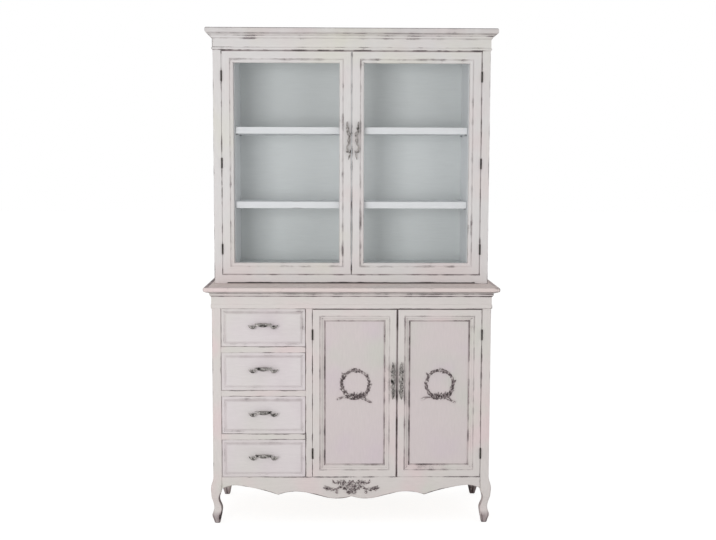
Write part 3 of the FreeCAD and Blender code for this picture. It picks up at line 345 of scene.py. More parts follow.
def dressed(node, material, slot, width, joined=False, name=None, lower_edge=0):
    """Stands for a node with the same boards, their edges rounded. joined fuses flush boards under one coat
    and paints a shadow strip at their foot, and lower_edge is the larger rounding of a board's lower front
    edge."""
    boards = [board_mesh(shell) for shell in shells(frame["nodes"][node].data)]
    if not boards:
        raise RuntimeError(f"{node} has no closed board")
    if joined:
        mesh = fused(boards)
        foot = min(vertex.co.z for vertex in mesh.vertices)
        height, reach, wax_and_shade = SLOT_SHADOW_STRIP
        shadow_strip(mesh, foot + height * MM, reach * MM, wax_and_shade)
        mesh = rounded(mesh, width)
    elif lower_edge:
        for board in boards:
            weigh_lower_edge(board, width / lower_edge)
        mesh = merged([finished(board, ("BEVEL", {
            "width": lower_edge, "segments": 5, "limit_method": "WEIGHT", "harden_normals": True,
            "use_clamp_overlap": True})) for board in boards])
    else:
        mesh = merged([rounded(board, width) for board in boards])
    return new_piece(name or f"{node}_painted", mesh, frame["nodes"][node]["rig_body"],
                     material, slot, [node], smooth=False)


def merged(meshes):
    """Several meshes as one that keeps their attributes and normals."""
    if len(meshes) == 1:
        return meshes[0]
    objects = []
    for mesh in meshes:
        holder = bpy.data.objects.new("part", mesh)
        bpy.context.scene.collection.objects.link(holder)
        objects.append(holder)
    with bpy.context.temp_override(active_object=objects[0], selected_editable_objects=objects,
                                   selected_objects=objects, object=objects[0]):
        bpy.ops.object.join()
    mesh = objects[0].data
    bpy.data.objects.remove(objects[0])
    return mesh


def outline_arc(centre, radius, start, end, steps):
    """Points of an arc, from start to end degrees."""
    turns = [math.radians(start + (end - start) * i / steps) for i in range(steps + 1)]
    return [(centre[0] + radius * math.cos(t), centre[1] + radius * math.sin(t)) for t in turns]


def oval(x, z, wide, tall, count, first=0):
    """Points (x, z) round an oval from its right on, shifted round it by first steps."""
    turns = [math.tau * (k + first) / count for k in range(count)]
    return [(x + wide * math.cos(turn), z + tall * math.sin(turn)) for turn in turns]


def swept(name, stations, grain_of, wax_and_shade_of, closed=False):
    """Joins stations of equal length with quads. closed wraps the last station round to the first, and
    otherwise both ends are filled."""
    bm = bmesh.new()
    grain = bm.faces.layers.float_vector.new("grain")
    wax_and_shade = bm.faces.layers.float.new("wax_and_shade")
    rows = [[bm.verts.new(Vector(point) * MM) for point in station] for station in stations]
    count = len(rows)
    around = len(rows[0])
    for i in range(count if closed else count - 1):
        for k in range(around):
            corners = [rows[i][k], rows[i][(k + 1) % around],
                       rows[(i + 1) % count][(k + 1) % around], rows[(i + 1) % count][k]]
            face = bm.faces.new(corners)
            face[grain] = grain_of(i, k)
            face[wax_and_shade] = wax_and_shade_of(i, k)
    if not closed:
        for row in (rows[0][::-1], rows[-1]):
            face = bm.faces.new(row)
            face[grain] = grain_of(0, 0)
    bmesh.ops.remove_doubles(bm, verts=bm.verts, dist=1e-6)
    bmesh.ops.recalc_face_normals(bm, faces=bm.faces)
    keep_planes(bm)
    mesh = bpy.data.meshes.new(name)
    bm.to_mesh(mesh)
    bm.free()
    return mesh


# Sides of a rectangle, in the order of its corners: bottom, right, top, left
SIDES = ("bottom", "right", "top", "left")
SIDE_GRAIN = {"bottom": 0, "right": 2, "top": 0, "left": 2}


# How far in from a frame's outer edge the wax and painted shade of its rim reach, in millimetres
RIM_WIDTH = 4


def wax_and_shade_on(profile):
    """The wax and painted shade weight of each point of a profile, 0 where a point names none."""
    return [point[2] if len(point) > 2 else 0 for point in profile]


def framed(name, profile, x, z, wax_and_shade, rim, cap=False):
    """A profile of (inset, y, wax and painted shade) swept round a rectangle in the front plane, mitred at its
    corners. cap fills the front and back of a profile that doesn't close. The side weights weigh each side's
    wax and painted shade, rim its outer edge."""
    stations = [[(x[0] + u, y, z[0] + u), (x[1] - u, y, z[0] + u),
                 (x[1] - u, y, z[1] - u), (x[0] + u, y, z[1] - u)] for u, y, *_ in profile]
    darkness = wax_and_shade_on(profile)
    wider = 0 if x[1] - x[0] > z[1] - z[0] else 2

    def grain_of(i, k):
        return Vector(grain_along(wider if cap else SIDE_GRAIN[SIDES[k]]))

    def wax_and_shade_of(i, k):
        return darkness[i] * (rim if profile[i][0] < RIM_WIDTH else wax_and_shade)[SIDES[k]]

    return swept(name, stations, grain_of, wax_and_shade_of, closed=not cap)


def round_case(name, profile, half, front, back):
    """A closed profile of (reach, height, wax and painted shade) run round the left, front and right of a
    case.
    """
    stations = []
    for side in (-1, 1):
        for y_from_back in ((True, False) if side < 0 else (False, True)):
            stations.append([(side * (half + d), back if y_from_back else front - d, z)
                             for d, z, *_ in profile])
    darkness = wax_and_shade_on(profile)
    return swept(name, stations, lambda i, k: Vector(grain_along(0 if i == 1 else 1)),
                 lambda i, k: darkness[k])


def nosed(name, profile, half, front, back, side_weight):
    """A board whose front and side edges follow a profile of (inset, height, wax and painted shade). The side
    weights weigh its front, right, back and left."""
    stations = [[(u - half, front + u, z), (half - u, front + u, z), (half - u, back, z), (u - half, back, z)]
                for u, z, _ in profile]
    return swept(name, stations, lambda i, k: Vector(grain_along(0)),
                 lambda i, k: profile[i][2] * side_weight[k])


def smooth_path(points, steps):
    """A smooth line through the points, each a tuple of numbers."""
    full = [points[0], *points, points[-1]]
    made = []
    for i in range(1, len(full) - 2):
        a, b, c, d = full[i - 1:i + 3]
        for step in range(steps):
            t = step / steps
            made.append(tuple(
                0.5 * (2 * q + (r - p) * t + (2 * p - 5 * q + 4 * r - s) * t * t
                       + (3 * q - p - 3 * r + s) * t ** 3)
                for p, q, r, s in zip(a, b, c, d)))
    made.append(tuple(points[-1]))
    return made


def add_strand(bm, points, steps=6, around=10, flatness=1.0):
    """A tapered round strand through points of (x, y, z, radius), in millimetres."""
    line = smooth_path(points, steps)
    rings = []
    for i, (*place, radius) in enumerate(line):
        here = Vector(place)
        ahead = Vector(line[min(i + 1, len(line) - 1)][:3]) - Vector(line[max(i - 1, 0)][:3])
        ahead.normalize()
        side = ahead.cross(Vector((0, 1, 0)))
        side = side.normalized() if side.length > 1e-4 else Vector((1, 0, 0))
        up = side.cross(ahead)
        ring = []
        for k in range(around):
            turn = math.tau * k / around
            off = side * math.cos(turn) * radius + up * math.sin(turn) * radius * flatness
            ring.append(bm.verts.new((here + off) * MM))
        rings.append(ring)
    for low, high in zip(rings, rings[1:]):
        for k in range(around):
            bm.faces.new([low[k], low[(k + 1) % around], high[(k + 1) % around], high[k]])
    bm.faces.new(rings[0][::-1])
    bm.faces.new(rings[-1])


def add_strands(bm, strands, x, y, z, way=1, **form):
    """Strands of (x, z, radius) about the middle (x, z) in the plane y; a way of -1 mirrors them."""
    for strand in strands:
        add_strand(bm, [(x + way * a, y, z + b, radius) for a, b, radius in strand], **form)


def add_bead(bm, centre, size):
    """A smooth bead; size is its three half lengths in millimetres."""
    stretch = Matrix.Diagonal((*[s * MM for s in size], 1))
    bmesh.ops.create_icosphere(bm, subdivisions=3, radius=1,
                               matrix=Matrix.Translation(Vector(centre) * MM) @ stretch)


def add_leaf(bm, root, tip, width, lift, base, vein=0.35, bend=0.0, along=10, across=6):
    """A carved leaf from root to tip (x, z), width wide, standing lift off the plane y = base."""
    start, end = Vector((root[0], 0, root[1])), Vector((tip[0], 0, tip[1]))
    run = end - start
    side = Vector((run.z, 0, -run.x)).normalized()
    grid = []
    for i in range(along + 1):
        u = i / along
        half = width / 2 * math.sin(math.pi * u ** 0.75) ** 0.85 if 0 < u < 1 else 0
        middle = start + run * u + side * bend * math.sin(math.pi * u)
        height = lift * 0.55
        if u < 0.87:
            height = lift * (0.35 + 0.65 * math.sin(math.pi * min(1, u * 1.15)) ** 0.7)
        row = []
        for k in range(across + 1):
            v = -1 + 2 * k / across
            dome = math.sqrt(max(0, 1 - 0.8 * v * v))
            crease = 1 - vein * math.exp(-(v / 0.28) ** 2)
            edge = 1 if abs(v) < 1 else 0
            top = middle + side * half * v
            row.append(bm.verts.new((Vector((top.x, base - height * dome * crease * edge, top.z))) * MM))
        grid.append(row)
    for low, high in zip(grid, grid[1:]):
        for k in range(across):
            bm.faces.new([low[k], low[k + 1], high[k + 1], high[k]])
    rim = [row[0] for row in grid] + [row[-1] for row in reversed(grid)]
    bottom = [bm.verts.new(Vector((v.co.x, base * MM, v.co.z))) for v in rim]
    for i in range(len(rim)):
        nxt = (i + 1) % len(rim)
        bm.faces.new([rim[i], bottom[i], bottom[nxt], rim[nxt]])
    ends = len(grid)
    for i in range(ends - 1):
        bm.faces.new([bottom[i], bottom[2 * ends - 1 - i], bottom[2 * ends - 2 - i], bottom[i + 1]])


def add_leaves(bm, leaves, x, y, z, lift, way=1, **form):
    """Leaves of (root, tip, width) about the middle (x, z), on the plane y; a way of -1 mirrors them."""
    for (x0, z0), (x1, z1), width in leaves:
        add_leaf(bm, (x + way * x0, z + z0), (x + way * x1, z + z1), width, lift, y, **form)


def mesh_of(name, bm):
    """Turns a bmesh into a mesh with merged doubles and outward faces."""
    bmesh.ops.remove_doubles(bm, verts=bm.verts, dist=1e-6)
    bmesh.ops.dissolve_degenerate(bm, dist=1e-7, edges=bm.edges)
    bmesh.ops.recalc_face_normals(bm, faces=bm.faces)
    mesh = bpy.data.meshes.new(name)
    bm.to_mesh(mesh)
    bm.free()
    return mesh


def cast(mesh, grain):
    """Fuses overlapping forms into one casting with softened creases."""
    return finished(
        mesh,
        ("REMESH", {"mode": "VOXEL", "voxel_size": grain, "adaptivity": 0.0}),
        ("SMOOTH", {"factor": 0.5, "iterations": 2}))


def cast_piece(node, bm, grain):
    """Stands for a handle with one fused casting."""
    new_piece(f"{node}_cast", cast(mesh_of(node, bm), grain), frame["nodes"][node]["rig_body"], "aged_pewter",
              "aged_metal", [node])


# ---------------------------------------------------------------------------------------------------
# Materials
# ---------------------------------------------------------------------------------------------------


def chalk_paint(name, base, warm, cool, sizes, colours, seed, wear=0.0, hollow_dark=1.0, tint=0.9):
    """Chalk paint brushed over dark stained wood, rubbed through at the edges and waxed: a dead matt,
    softly patchy pale coat with brush ridges, ragged brown-black edges, dirt and painted shade in the hollows
    and painted black shadow in the gaps, both from ambient occlusion and from the faces' wax weights. wear
    adds to the rubbing, hollow_dark weighs the painted shade and dirt in the hollows and tint the colour
    patches."""
    tree = new_material(name)
    place = add(tree, "ShaderNodeTexCoord").outputs["Object"]
    grain = add(tree, "ShaderNodeAttribute", attribute_name="grain").outputs["Vector"]
    wax_and_shade = add(tree, "ShaderNodeAttribute", attribute_name="wax_and_shade").outputs["Fac"]
    along = add(tree, "ShaderNodeVectorMath", {0: place, 1: grain}, operation="MULTIPLY").outputs["Vector"]

    # Uneven work, as (shift of the seed, size in millimetres, detail, roughness): the patches of either
    # colour, long worn runs, short dashes in them, and the ragged border of what is rubbed
    patch_size = sizes.tint_patch / MM
    patch, other, stretch, dash, ragged = [
        add(tree, "ShaderNodeTexNoise", {
            "Vector": place, "W": seed + shift, "Scale": per_metre(size), "Detail": detail,
            "Roughness": roughness}, noise_dimensions="4D").outputs["Fac"]
        for shift, size, detail, roughness in (
            (0.0, patch_size, 2.0, 0.5), (7.3, patch_size * 0.8, 2.0, 0.5), (3.1, 240, 1.0, 0.5),
            (4.4, 60, 2.0, 0.5), (5.9, 9, 3.0, 0.65))]

    # Soft colour patches where one coat shows more than the other
    to_warm, to_cool = [
        add(tree, "ShaderNodeMapRange", {"Value": noise, "From Min": 0.46, "From Max": most, "To Max": tint},
            interpolation_type="SMOOTHSTEP").outputs["Result"]
        for noise, most in ((patch, 0.72), (other, 0.74))]
    coat = add(tree, "ShaderNodeMix", {"Factor": to_warm, "A": base, "B": warm}, data_type="RGBA")
    coat = add(tree, "ShaderNodeMix", {"Factor": to_cool, "A": coat.outputs[2], "B": cool}, data_type="RGBA")

    # Brush marks along each board
    brush = add(tree, "ShaderNodeTexNoise", {
        "Vector": along, "Scale": per_metre(sizes.brush_mark / MM), "Detail": 4.0,
        "Roughness": 0.6}).outputs["Fac"]
    shade = add(tree, "ShaderNodeMapRange", {
        "Value": brush, "From Min": 0.25, "From Max": 0.75, "To Min": 0.955,
        "To Max": 1.03}).outputs["Result"]
    coat = add(tree, "ShaderNodeVectorMath", {0: coat.outputs[2], "Scale": shade}, operation="SCALE")

    # Where an edge is near: the rounded normal there turns away from the board's own face
    plane = add(tree, "ShaderNodeAttribute", attribute_name="plane").outputs["Vector"]
    plane = add(tree, "ShaderNodeVectorTransform", {0: plane}, vector_type="NORMAL", convert_from="OBJECT",
                convert_to="WORLD").outputs[0]
    soft_normal = add(tree, "ShaderNodeBevel", {"Radius": sizes.wear_reach}, samples=6).outputs["Normal"]
    same = add(tree, "ShaderNodeVectorMath", {0: soft_normal, 1: plane},
               operation="DOT_PRODUCT").outputs["Value"]
    edge = add(tree, "ShaderNodeMapRange", {
        "Value": same, "From Min": 0.997, "From Max": 0.78}).outputs["Result"]
    edge = add(tree, "ShaderNodeMath", {0: edge, 1: 0.55}, operation="POWER").outputs[0]
    on_edge = add(tree, "ShaderNodeMapRange", {
        "Value": edge, "From Min": 0.08, "From Max": 0.25}).outputs["Result"]

    # How far the rubbing went there; a wax below 0 spares a face
    rub = wear - 4.35
    for noise, weight in ((stretch, 1.4), (dash, 4.5), (ragged, 0.6)):
        rub = add(tree, "ShaderNodeMath", {0: noise, 1: weight, 2: rub}, operation="MULTIPLY_ADD").outputs[0]
    spared = add(tree, "ShaderNodeMath", {0: wax_and_shade, 1: 0.0}, operation="MINIMUM").outputs[0]
    rub = add(tree, "ShaderNodeMath", {0: rub, 1: spared}, operation="ADD").outputs[0]
    worn = add(tree, "ShaderNodeMath", {0: rub, 1: edge}, operation="ADD").outputs[0]

    # Dirt and wax with painted shade in the hollows, and painted black shadow in the gaps between parts, from
    # ambient occlusion; the faces' wax weights add more of both
    hollow = add(tree, "ShaderNodeAmbientOcclusion", {"Distance": 9 * MM}, samples=6).outputs["AO"]
    gap, dirt_and_shade = [
        add(tree, "ShaderNodeMapRange", {
            "Value": hollow, "From Min": first, "From Max": full, "To Max": hollow_dark}).outputs["Result"]
        for first, full in ((0.47, 0.26), (0.72, 0.30))]
    dark_run = wax_and_shade
    for noise, weight in ((dash, 1.6), (stretch, 0.8)):
        dark_run = add(tree, "ShaderNodeMath", {0: noise, 1: weight, 2: dark_run},
                       operation="MULTIPLY_ADD").outputs[0]
    dark_run = add(tree, "ShaderNodeMapRange", {"Value": dark_run, "From Min": 1.4, "From Max": 1.9},
                   interpolation_type="SMOOTHSTEP").outputs["Result"]
    gap = add(tree, "ShaderNodeMath", {0: gap, 1: dark_run}, operation="MULTIPLY").outputs[0]
    held = add(tree, "ShaderNodeMapRange", {
        "Value": dark_run, "To Min": 0.15, "To Max": 1.0}).outputs["Result"]
    dirt_and_shade = add(tree, "ShaderNodeMath", {0: dirt_and_shade, 1: held}, operation="MULTIPLY").outputs[0]
    dirt_and_shade = add(tree, "ShaderNodeMath", {0: dirt_and_shade, 1: wax_and_shade}, operation="MAXIMUM").outputs[0]
    patchy = add(tree, "ShaderNodeMapRange", {
        "Value": dash, "From Min": 0.36, "From Max": 0.64, "To Min": 0.45, "To Max": 1.05}).outputs["Result"]
    patchy = add(tree, "ShaderNodeMath", {0: ragged, 1: 0.5, 2: patchy}, operation="MULTIPLY_ADD").outputs[0]
    dirt_and_shade = add(tree, "ShaderNodeMath", {0: dirt_and_shade, 1: patchy}, operation="MULTIPLY").outputs[0]

    # Paint rubbed thin, or darkened by dirt and painted shade, and inside that the bared wood, and black for
    # thick wax and for the painted shadow in the gaps
    thin, bare_and_shadow, black = [
        add(tree, "ShaderNodeMapRange", {"Value": value, "From Min": first, "From Max": full},
            interpolation_type="SMOOTHSTEP").outputs["Result"]
        for value, first, full in ((worn, -0.32, 0.02), (worn, -0.04, 0.12), (dirt_and_shade, 0.72, 1.35))]
    soil_and_shade = add(tree, "ShaderNodeMapRange", {
        "Value": dirt_and_shade, "From Min": 0.08, "From Max": 0.8}).outputs["Result"]
    thin = add(tree, "ShaderNodeMath", {0: thin, 1: on_edge}, operation="MULTIPLY").outputs[0]
    thin = add(tree, "ShaderNodeMath", {0: thin, 1: soil_and_shade}, operation="MAXIMUM").outputs[0]
    bare_and_shadow = add(tree, "ShaderNodeMath", {0: bare_and_shadow, 1: on_edge}, operation="MULTIPLY").outputs[0]
    black = add(tree, "ShaderNodeMath", {0: black, 1: gap}, operation="MAXIMUM").outputs[0]
    bare_and_shadow = add(tree, "ShaderNodeMath", {0: bare_and_shadow, 1: black}, operation="MAXIMUM").outputs[0]
    tone = coat.outputs["Vector"]
    for share, shown in ((thin, colours.thin_paint_and_shade), (bare_and_shadow, colours.bared_wood_and_shadow)):
        tone = add(tree, "ShaderNodeMix", {"Factor": share, "A": tone, "B": shown},
                   data_type="RGBA").outputs[2]

    # Matt paint with brush ridges and a fine grit, drawn coarser than it is so that it shows; bared wood
    # lies lower and shines more
    gloss = add(tree, "ShaderNodeMapRange", {"Value": bare_and_shadow, "To Min": 0.84, "To Max": 0.55}).outputs["Result"]
    grit = add(tree, "ShaderNodeTexNoise", {
        "Vector": place, "Scale": per_metre(1.6), "Detail": 2.0}).outputs["Fac"]
    relief = brush
    for height, weight in ((grit, 0.35), (bare_and_shadow, -0.8)):
        relief = add(tree, "ShaderNodeMath", {0: height, 1: weight, 2: relief},
                     operation="MULTIPLY_ADD").outputs[0]
    bump = add(tree, "ShaderNodeBump", {
        "Strength": 0.35, "Distance": 0.35 * MM, "Height": relief}).outputs["Normal"]
    shader = add(tree, "ShaderNodeBsdfPrincipled", {"Base Color": tone, "Roughness": gloss, "Normal": bump})
    add(tree, "ShaderNodeOutputMaterial", {"Surface": shader.outputs[0]})


def plain_board(name, colour_of_wood, seed):
    """Planed unpainted pine, lightly yellowed, or near-black where it paints the shadow in the slot under the
    hutch: long straight grain, soft sheen, darker streaks.
    """
    tree = new_material(name)
    place = add(tree, "ShaderNodeTexCoord").outputs["Object"]
    grain = add(tree, "ShaderNodeAttribute", attribute_name="grain").outputs["Vector"]
    along = add(tree, "ShaderNodeVectorMath", {0: place, 1: grain}, operation="MULTIPLY").outputs["Vector"]
    # A year's ring runs much further along a sawn board than a fibre does
    far_along = add(tree, "ShaderNodeVectorMath", {0: along, 1: grain},
                    operation="MULTIPLY").outputs["Vector"]
    rings = add(tree, "ShaderNodeTexNoise", {
        "Vector": far_along, "W": seed, "Scale": per_metre(10), "Detail": 3.0, "Distortion": 0.3},
        noise_dimensions="4D").outputs["Fac"]
    fibre = add(tree, "ShaderNodeTexNoise", {
        "Vector": along, "Scale": per_metre(1.6), "Detail": 3.0}).outputs["Fac"]
    year = add(tree, "ShaderNodeMapRange", {"Value": rings, "From Min": 0.38, "From Max": 0.68},
               interpolation_type="SMOOTHSTEP").outputs["Result"]
    dark = add(tree, "ShaderNodeVectorMath", {0: colour_of_wood[:3], "Scale": 0.74}, operation="SCALE")
    wood = add(tree, "ShaderNodeMix", {
        "Factor": year, "A": colour_of_wood, "B": dark.outputs["Vector"]}, data_type="RGBA").outputs[2]
    shade = add(tree, "ShaderNodeMapRange", {
        "Value": fibre, "From Min": 0.3, "From Max": 0.7, "To Min": 0.9, "To Max": 1.06}).outputs["Result"]
    wood = add(tree, "ShaderNodeVectorMath", {0: wood, "Scale": shade}, operation="SCALE").outputs["Vector"]
    gloss = add(tree, "ShaderNodeMapRange", {
        "Value": fibre, "To Min": 0.62, "To Max": 0.78}).outputs["Result"]
    bump = add(tree, "ShaderNodeBump", {
        "Strength": 0.3, "Distance": 0.2 * MM, "Height": fibre}).outputs["Normal"]
    shader = add(tree, "ShaderNodeBsdfPrincipled", {"Base Color": wood, "Roughness": gloss, "Normal": bump})
    add(tree, "ShaderNodeOutputMaterial", {"Surface": shader.outputs[0]})


def cast_metal(name, raised, hollow, rough, seed):
    """Pewter-finished zinc casting, or small steel parts, darkened with age: a soft metal gleam on grey
    rubbed highs, almost black hollows."""
    tree = new_material(name)
    place = add(tree, "ShaderNodeTexCoord").outputs["Object"]
    near = add(tree, "ShaderNodeAmbientOcclusion", {"Distance": 5 * MM}, samples=8).outputs["AO"]
    blotch = add(tree, "ShaderNodeTexNoise", {
        "Vector": place, "W": seed, "Scale": per_metre(11), "Detail": 2.0},
        noise_dimensions="4D").outputs["Fac"]
    pits = add(tree, "ShaderNodeTexNoise", {
        "Vector": place, "Scale": per_metre(0.9), "Detail": 2.0}).outputs["Fac"]
    open_share = add(tree, "ShaderNodeMath", {0: blotch, 1: 1.5, 2: near},
                     operation="MULTIPLY_ADD").outputs[0]
    rubbed = add(tree, "ShaderNodeMapRange", {"Value": open_share, "From Min": 1.4, "From Max": 1.85},
                 interpolation_type="SMOOTHSTEP").outputs["Result"]
    tone = add(tree, "ShaderNodeMix", {"Factor": rubbed, "A": hollow, "B": raised},
               data_type="RGBA").outputs[2]
    gloss = add(tree, "ShaderNodeMapRange", {
        "Value": rubbed, "To Min": rough + 0.25, "To Max": rough}).outputs["Result"]
    bump = add(tree, "ShaderNodeBump", {
        "Strength": 0.25, "Distance": 0.15 * MM, "Height": pits}).outputs["Normal"]
    shader = add(tree, "ShaderNodeBsdfPrincipled", {
        "Base Color": tone, "Metallic": 1.0, "Roughness": gloss, "Normal": bump})
    add(tree, "ShaderNodeOutputMaterial", {"Surface": shader.outputs[0]})


def rubbed_gesso(name, colours, seed, kept_paint):
    """Moulded composition ornament, painted and rubbed back to its dark base: brown-black leaves with
    scraps of grey and of pale paint left on their slopes, more of them with more kept_paint."""
    tree = new_material(name)
    place = add(tree, "ShaderNodeTexCoord").outputs["Object"]
    near = add(tree, "ShaderNodeAmbientOcclusion", {"Distance": 5 * MM}, samples=8).outputs["AO"]
    scraps = add(tree, "ShaderNodeTexNoise", {
        "Vector": place, "W": seed, "Scale": per_metre(9), "Detail": 3.0},
        noise_dimensions="4D").outputs["Fac"]
    kept = kept_paint - 0.15
    for value, weight in ((scraps, 1.3), (near, 0.6)):
        kept = add(tree, "ShaderNodeMath", {0: value, 1: weight, 2: kept},
                   operation="MULTIPLY_ADD").outputs[0]
    grey, pale = [
        add(tree, "ShaderNodeMapRange", {"Value": kept, "From Min": first, "From Max": full},
            interpolation_type="SMOOTHSTEP").outputs["Result"]
        for first, full in ((0.90, 1.14), (1.12, 1.26))]
    tone = colours.bared_wood_and_shadow
    for share, shown in ((grey, colours.thin_paint_and_shade), (pale, colours.buffet_paint)):
        tone = add(tree, "ShaderNodeMix", {"Factor": share, "A": tone, "B": shown},
                   data_type="RGBA").outputs[2]
    gloss = add(tree, "ShaderNodeMapRange", {"Value": grey, "To Min": 0.5, "To Max": 0.8}).outputs["Result"]
    grit = add(tree, "ShaderNodeTexNoise", {
        "Vector": place, "Scale": per_metre(1.2), "Detail": 2.0}).outputs["Fac"]
    bump = add(tree, "ShaderNodeBump", {
        "Strength": 0.3, "Distance": 0.25 * MM, "Height": grit}).outputs["Normal"]
    shader = add(tree, "ShaderNodeBsdfPrincipled", {"Base Color": tone, "Roughness": gloss, "Normal": bump})
    add(tree, "ShaderNodeOutputMaterial", {"Surface": shader.outputs[0]})


def window_glass(name):
    """Clear float glass, 3 mm: almost nothing to see but a faint sheen and a few soft smears."""
    tree = new_material(name)
    place = add(tree, "ShaderNodeTexCoord").outputs["Object"]
    smear = add(tree, "ShaderNodeTexNoise", {
        "Vector": place, "Scale": per_metre(120), "Detail": 3.0}).outputs["Fac"]
    gloss = add(tree, "ShaderNodeMapRange", {"Value": smear, "To Min": 0.0, "To Max": 0.08}).outputs["Result"]
    sheen = add(tree, "ShaderNodeBsdfGlossy", {"Color": linear("#ffffff"), "Roughness": gloss})
    clear = add(tree, "ShaderNodeBsdfTransparent", {"Color": linear("#fefefe")})
    facing = add(tree, "ShaderNodeFresnel", {"IOR": 1.45}).outputs[0]
    shown = add(tree, "ShaderNodeMath", {0: facing, 1: 0.35}, operation="MULTIPLY").outputs[0]
    pane = add(tree, "ShaderNodeMixShader", {0: shown, 1: clear.outputs[0], 2: sheen.outputs[0]})
    add(tree, "ShaderNodeOutputMaterial", {"Surface": pane.outputs[0]})


# ---------------------------------------------------------------------------------------------------
# Operators
# ---------------------------------------------------------------------------------------------------


class DRESSER_OT_finishes(bpy.types.Operator):
    """Makes the paints, wood, metal and glass"""

    bl_idname = "dresser.finishes"
    bl_label = "Finishes"

    def execute(self, context):
        sizes, colours = context.scene.dresser_sizes, context.scene.dresser_colours
        chalk_paint("hutch_chalk_paint", colours.hutch_paint, colours.hutch_cream, colours.hutch_rose,
                    sizes, colours, seed=2.0)
        chalk_paint("buffet_chalk_paint", colours.buffet_paint, colours.buffet_cream, colours.buffet_rose,
                    sizes, colours, seed=14.0, wear=0.05)
        chalk_paint("slab_chalk_paint", colours.slab_paint, colours.buffet_paint, colours.buffet_rose,
                    sizes, colours, seed=37.0, wear=0.05, tint=0.6)
        chalk_paint("drawer_chalk_paint", colours.drawer_paint, colours.buffet_cream, colours.panel_lilac,
                    sizes, colours, seed=31.0, tint=0.4)
        chalk_paint("panel_chalk_paint", colours.panel_paint, colours.panel_sage, colours.panel_lilac,
                    sizes, colours, seed=17.0)
        for name, paint, seed in (("interior_chalk_paint", colours.interior_paint, 23.0),
                                  ("shelf_chalk_paint", colours.shelf_paint, 27.0)):
            chalk_paint(name, paint, paint, paint, sizes, colours, seed, wear=-1.0, hollow_dark=0.3)
        plain_board("planed_pine", colours.pine, seed=4.0)
        plain_board("slot_shadow_pine", colours.slot_shadow_wood, seed=5.0)
        cast_metal("aged_pewter", colours.pewter, colours.pewter_hollow, rough=0.42, seed=3.0)
        cast_metal("blackened_steel", linear("#45403d"), linear("#1c1918"), rough=0.45, seed=9.0)
        cast_metal("bright_steel", linear("#c9cbcd"), linear("#8f9296"), rough=0.3, seed=12.0)
        rubbed_gesso("rubbed_composition", colours, seed=6.0, kept_paint=0.0)
        rubbed_gesso("rubbed_carving", colours, seed=8.0, kept_paint=0.06)
        window_glass("float_glass")
        return {"FINISHED"}


# Rounding of the front apron's scalloped lower edge, in millimetres
APRON_EDGE = 4.6


class DRESSER_OT_carcase(bpy.types.Operator):
    """Rounds and paints the boards of the buffet and the hutch"""

    bl_idname = "dresser.carcase"
    bl_label = "Boards"

    def execute(self, context):
        edge = context.scene.dresser_sizes.edge_rounding
        dressed("hutch_side_panels", "hutch_chalk_paint", "hutch_paint", edge)
        dressed("hutch_face_frame", "hutch_chalk_paint", "hutch_paint", edge, joined=True)
        for node in ("front_rails", "centre_stile", "buffet_side_panels", "side_rails_and_aprons"):
            dressed(node, "buffet_chalk_paint", "buffet_paint", edge)
        dressed("front_apron", "buffet_chalk_paint", "buffet_paint", edge, lower_edge=APRON_EDGE * MM)
        dressed("hutch_shelves", "shelf_chalk_paint", "interior_paint", edge)
        for node in ("hutch_back_panel", "hutch_floor_and_top"):
            dressed(node, "interior_chalk_paint", "interior_paint", edge)
        # The bearer's near-black stain is the painted shadow in the slot under the hutch
        dressed("hutch_floor_bearer", "slot_shadow_pine", "bare_wood", edge)
        dressed("hutch_linings", "shelf_chalk_paint", "interior_paint", 0.3 * MM)
        for node in ("buffet_floor", "buffet_partition", "buffet_back_panel", "cupboard_shelf",
                     "shelf_cleats_and_door_stop", "drawer_runners"):
            dressed(node, "planed_pine", "bare_wood", edge * 0.7)
        return {"FINISHED"}


# How far the frieze stands over the posts and the rail, in millimetres
FRIEZE = 2.0
# Half width and front of the case and of the hutch behind their mouldings, in millimetres
CASE = (573, -205)
HUTCH = (576, -62)
# Height of the foot of the band round the case and of the bead round the hutch, in millimetres
BAND_FOOT = 902
BEAD_FOOT = 1960


def nose_profile(low, high, radius, top_radius, under, face, line):
    """A bullnosed edge from its underside up, as (inset, height, wax and painted shade). radius and top_radius
    round it below and above; under is painted shade on its lower rounding, face and line the wax on its face
    and top."""
    return [
        (radius * 2.2, low, under),
        *[(radius - a, b, under if b < low + radius * 0.4 else face)
          for a, b in outline_arc((0, low + radius), radius, -90, 0, 8)],
        *[(top_radius - a, b, line if b > high - top_radius * 0.5 else face)
          for a, b in outline_arc((0, high - top_radius), top_radius, 0, 90, 8)],
        (radius * 2.2, high, 0)]


def run_outline(top, low, foot_outline, underside_wax_and_shade):
    """A run from its underside up, as (reach, height, wax and painted shade): the band or bead at its foot, a
    thin frieze, and under the board a quirk, an ovolo and a deep hollow, with wax and painted shade under the
    ovolo, in the hollow and under the board's nose. The last argument weighs them."""
    return [
        (0, low), *foot_outline(low), (FRIEZE, top - 22), (2.6, top - 20.6, 0.2 + 0.6 * underside_wax_and_shade),
        (4.2, top - 19.8, 0.1 + 0.9 * underside_wax_and_shade), (4.4, top - 18.6, underside_wax_and_shade), (6.0, top - 17.4, 0.5 * underside_wax_and_shade),
        (7.4, top - 15.2), (8.4, top - 12.6), (8.8, top - 10.6), (8.4, top - 9.6, 1.15 * underside_wax_and_shade),
        (7.4, top - 8.9, 1.0 * underside_wax_and_shade), (8.6, top - 6.8, 0.12), (11.2, top - 4.8, 0.12),
        (14.8, top - 3.2, 0.3), (19.4, top - 2.0, 0.75 * underside_wax_and_shade), (22.6, top - 1.4, 1.1 * underside_wax_and_shade),
        (23.4, top - 0.6, 1.1 * underside_wax_and_shade), (23.4, top), (0, top)]


